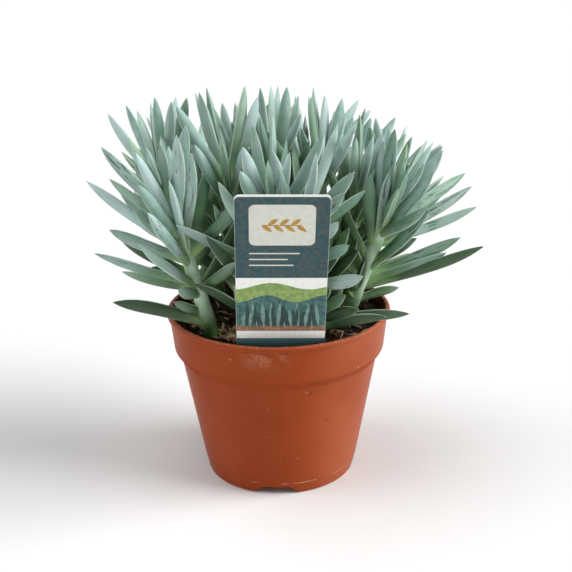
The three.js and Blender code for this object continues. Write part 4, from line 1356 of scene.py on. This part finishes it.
def make_label(draws):
    front = LABEL_THICKNESS / 2
    body = plates("label_plate", [(label_outline(), -front, front, 0)], [card_material()])
    place(body, "label_plastic", "plant_label")

    inks = {
        "teal": ((34, 74, 84), (66, 82, 80)),
        "pale": ((216, 218, 206), (208, 211, 200)),
        "white": ((244, 245, 240), (238, 240, 234)),
        # Painted light: the band at the card's foot is printed in a lighter teal to offset the shadow of the
        # pot's rim.
        "foot_teal_painted_light": ((78, 124, 132), (96, 124, 126)),
        "ochre": ((190, 148, 66), (172, 128, 52)),
        "light_green": ((150, 172, 96), (116, 150, 84)),
        "blue_green": ((70, 112, 110), (46, 86, 84)),
        "deep_green": ((38, 72, 66), (30, 58, 56)),
        "sage": ((120, 154, 146), (96, 132, 124)),
        "brown": ((156, 124, 98), (126, 96, 74)),
    }
    pieces = []

    def print_on(layer, ink, outline):
        low = front + layer * PRINT_THICKNESS
        pieces.append((outline, low, low + PRINT_THICKNESS, list(inks).index(ink)))

    half = LABEL_WIDTH / 2 - PRINT_MARGIN
    corner = LABEL_CORNER - PRINT_MARGIN
    print_on(0, "teal", rounded_rectangle(-half, half, PRINT_MARGIN, LABEL_HEIGHT - TOP_MARGIN, corner))
    print_on(1, "pale", rounded_rectangle(-PANEL_HALF, PANEL_HALF, PANEL_FOOT, PANEL_TOP, PANEL_CORNER))
    middle = (PANEL_FOOT + PANEL_TOP) / 2
    stalk = TWIG_THICKNESS / 2
    print_on(2, "ochre", rectangle(-TWIG_HALF, TWIG_HALF, middle - stalk, middle + stalk))
    for k in range(TWIG_LEAVES):
        x = -TWIG_HALF + 2 * TWIG_HALF * k / TWIG_LEAVES
        lean = TWIG_LEAF_LEAN if k % 2 else math.pi - TWIG_LEAF_LEAN
        print_on(2, "ochre", blade(x, middle, TWIG_LEAF_LENGTH, TWIG_LEAF_WIDTH, lean))
    for height, right in LINES.items():
        print_on(1, "pale", rectangle(LINES_LEFT, right, height, height + LINE_THICKNESS))
    print_on(1, "white", rectangle(-half, half, WHITE_FOOT, STRIP_TOP))
    # Painted light: the lighter teal band at the card's foot.
    print_on(1, "foot_teal_painted_light", rounded_rectangle(-half, half, PRINT_MARGIN, WHITE_FOOT, corner))
    for layer, (ink, top) in enumerate(HILLS.items(), 2):
        print_on(layer, ink, hill(-half, half, STRIP_FOOT, *top))
    for k in range(BLADE_COUNT):
        x = -half + BLADES_FROM_EDGE + (2 * half - 2 * BLADES_FROM_EDGE) * k / (BLADE_COUNT - 1)
        ink = "deep_green" if k % 3 else "sage"
        length = draws.between(*BLADE_LENGTHS)
        print_on(5 + k % 2, ink, blade(x, BLADE_FOOT, length, BLADE_WIDTH, draws.around(BLADE_LEAN)))
    materials = [ink_material("label_" + name, *pair) for name, pair in inks.items()]
    place(plates("label_print", pieces, materials), "label_plastic")


# Studio: a pale floor, soft light and the camera where the photograph was taken


FLOOR_HALF = 9000
FLOOR_COLOUR = (0.82, 0.82, 0.82, 1.0)


def make_floor():
    m = Skin("pale_floor", 0.9, 0.2)
    m.skin = FLOOR_COLOUR
    corners = [(x * FLOOR_HALF, y * FLOOR_HALF, 0) for x, y in ((-1, -1), (1, -1), (1, 1), (-1, 1))]
    add_object("floor", corners, [(0, 1, 2, 3)], [m.finish()], smooth=False)


# The suns: the way towards each, its strength, and its width in degrees
SUNS = {
    "key": ((0.93, -0.14, 0.6), 3.8, 45),
    "top": ((-0.3, 0.0, 1.0), 1.4, 45),
    "left": ((-0.95, -0.1, 0.35), 0.8, 40),
}


def make_world():
    """White light from around, bright at the horizon and dim higher up."""
    world = bpy.data.worlds.new("studio")
    m = Nodes(world)
    background = m.tree.nodes["Background"].inputs
    background["Color"].default_value = (1.0, 1.0, 1.0, 1.0)
    height = m.node("SeparateXYZ", {"Vector": m.node("TexCoord", {})["Generated"]})["Z"]
    m.put(background["Strength"], m.stretch(height, 0.16, 0.4, 1.0, 0.03))
    bpy.context.scene.world = world


def make_suns():
    for name, (towards, strength, width) in SUNS.items():
        data = bpy.data.lights.new(name, "SUN")
        data.energy = strength
        data.angle = math.radians(width)
        light = bpy.data.objects.new(name, data)
        light.rotation_euler = Vector(towards).to_track_quat("Z", "Y").to_euler()
        bpy.context.scene.collection.objects.link(light)


CAMERA_PLACE = (0.0, -601.23, 328.58)
CAMERA_PITCH = 0.3461
CAMERA_YAW = 0.0076
CAMERA_ROLL = -0.0158
FOCAL_PIXELS = 1100.13
IMAGE_WIDTH = 572
SENSOR_WIDTH = 36


def make_camera():
    data = bpy.data.cameras.new("camera")
    data.sensor_width = SENSOR_WIDTH
    data.lens = SENSOR_WIDTH * FOCAL_PIXELS / IMAGE_WIDTH
    data.clip_start = 0.01
    data.clip_end = 100
    camera = bpy.data.objects.new("camera", data)
    turn = Matrix.Rotation(-CAMERA_YAW, 3, "Z") @ Matrix.Rotation(math.pi / 2 - CAMERA_PITCH, 3, "X")
    turn = turn @ Matrix.Rotation(CAMERA_ROLL, 3, "Z")
    camera.matrix_world = Matrix.Translation(Vector(CAMERA_PLACE) * MM) @ turn.to_4x4()
    bpy.context.scene.collection.objects.link(camera)
    bpy.context.scene.camera = camera


make_plant()
make_pot(pot_material())
peat = soil_material()
soil_radius = make_soil(peat)
ground_draws = Draws(7129)
make_crumbs(peat, soil_radius, ground_draws)
bark = litter_material()
make_litter("soil_fibres", FIBRES, bark, soil_radius, ground_draws)
make_litter("soil_chips", CHIPS, bark, soil_radius, ground_draws)
make_label(Draws(3313))
make_floor()
make_world()
make_suns()
make_camera()
bpy.context.scene.view_settings.view_transform = "Standard"
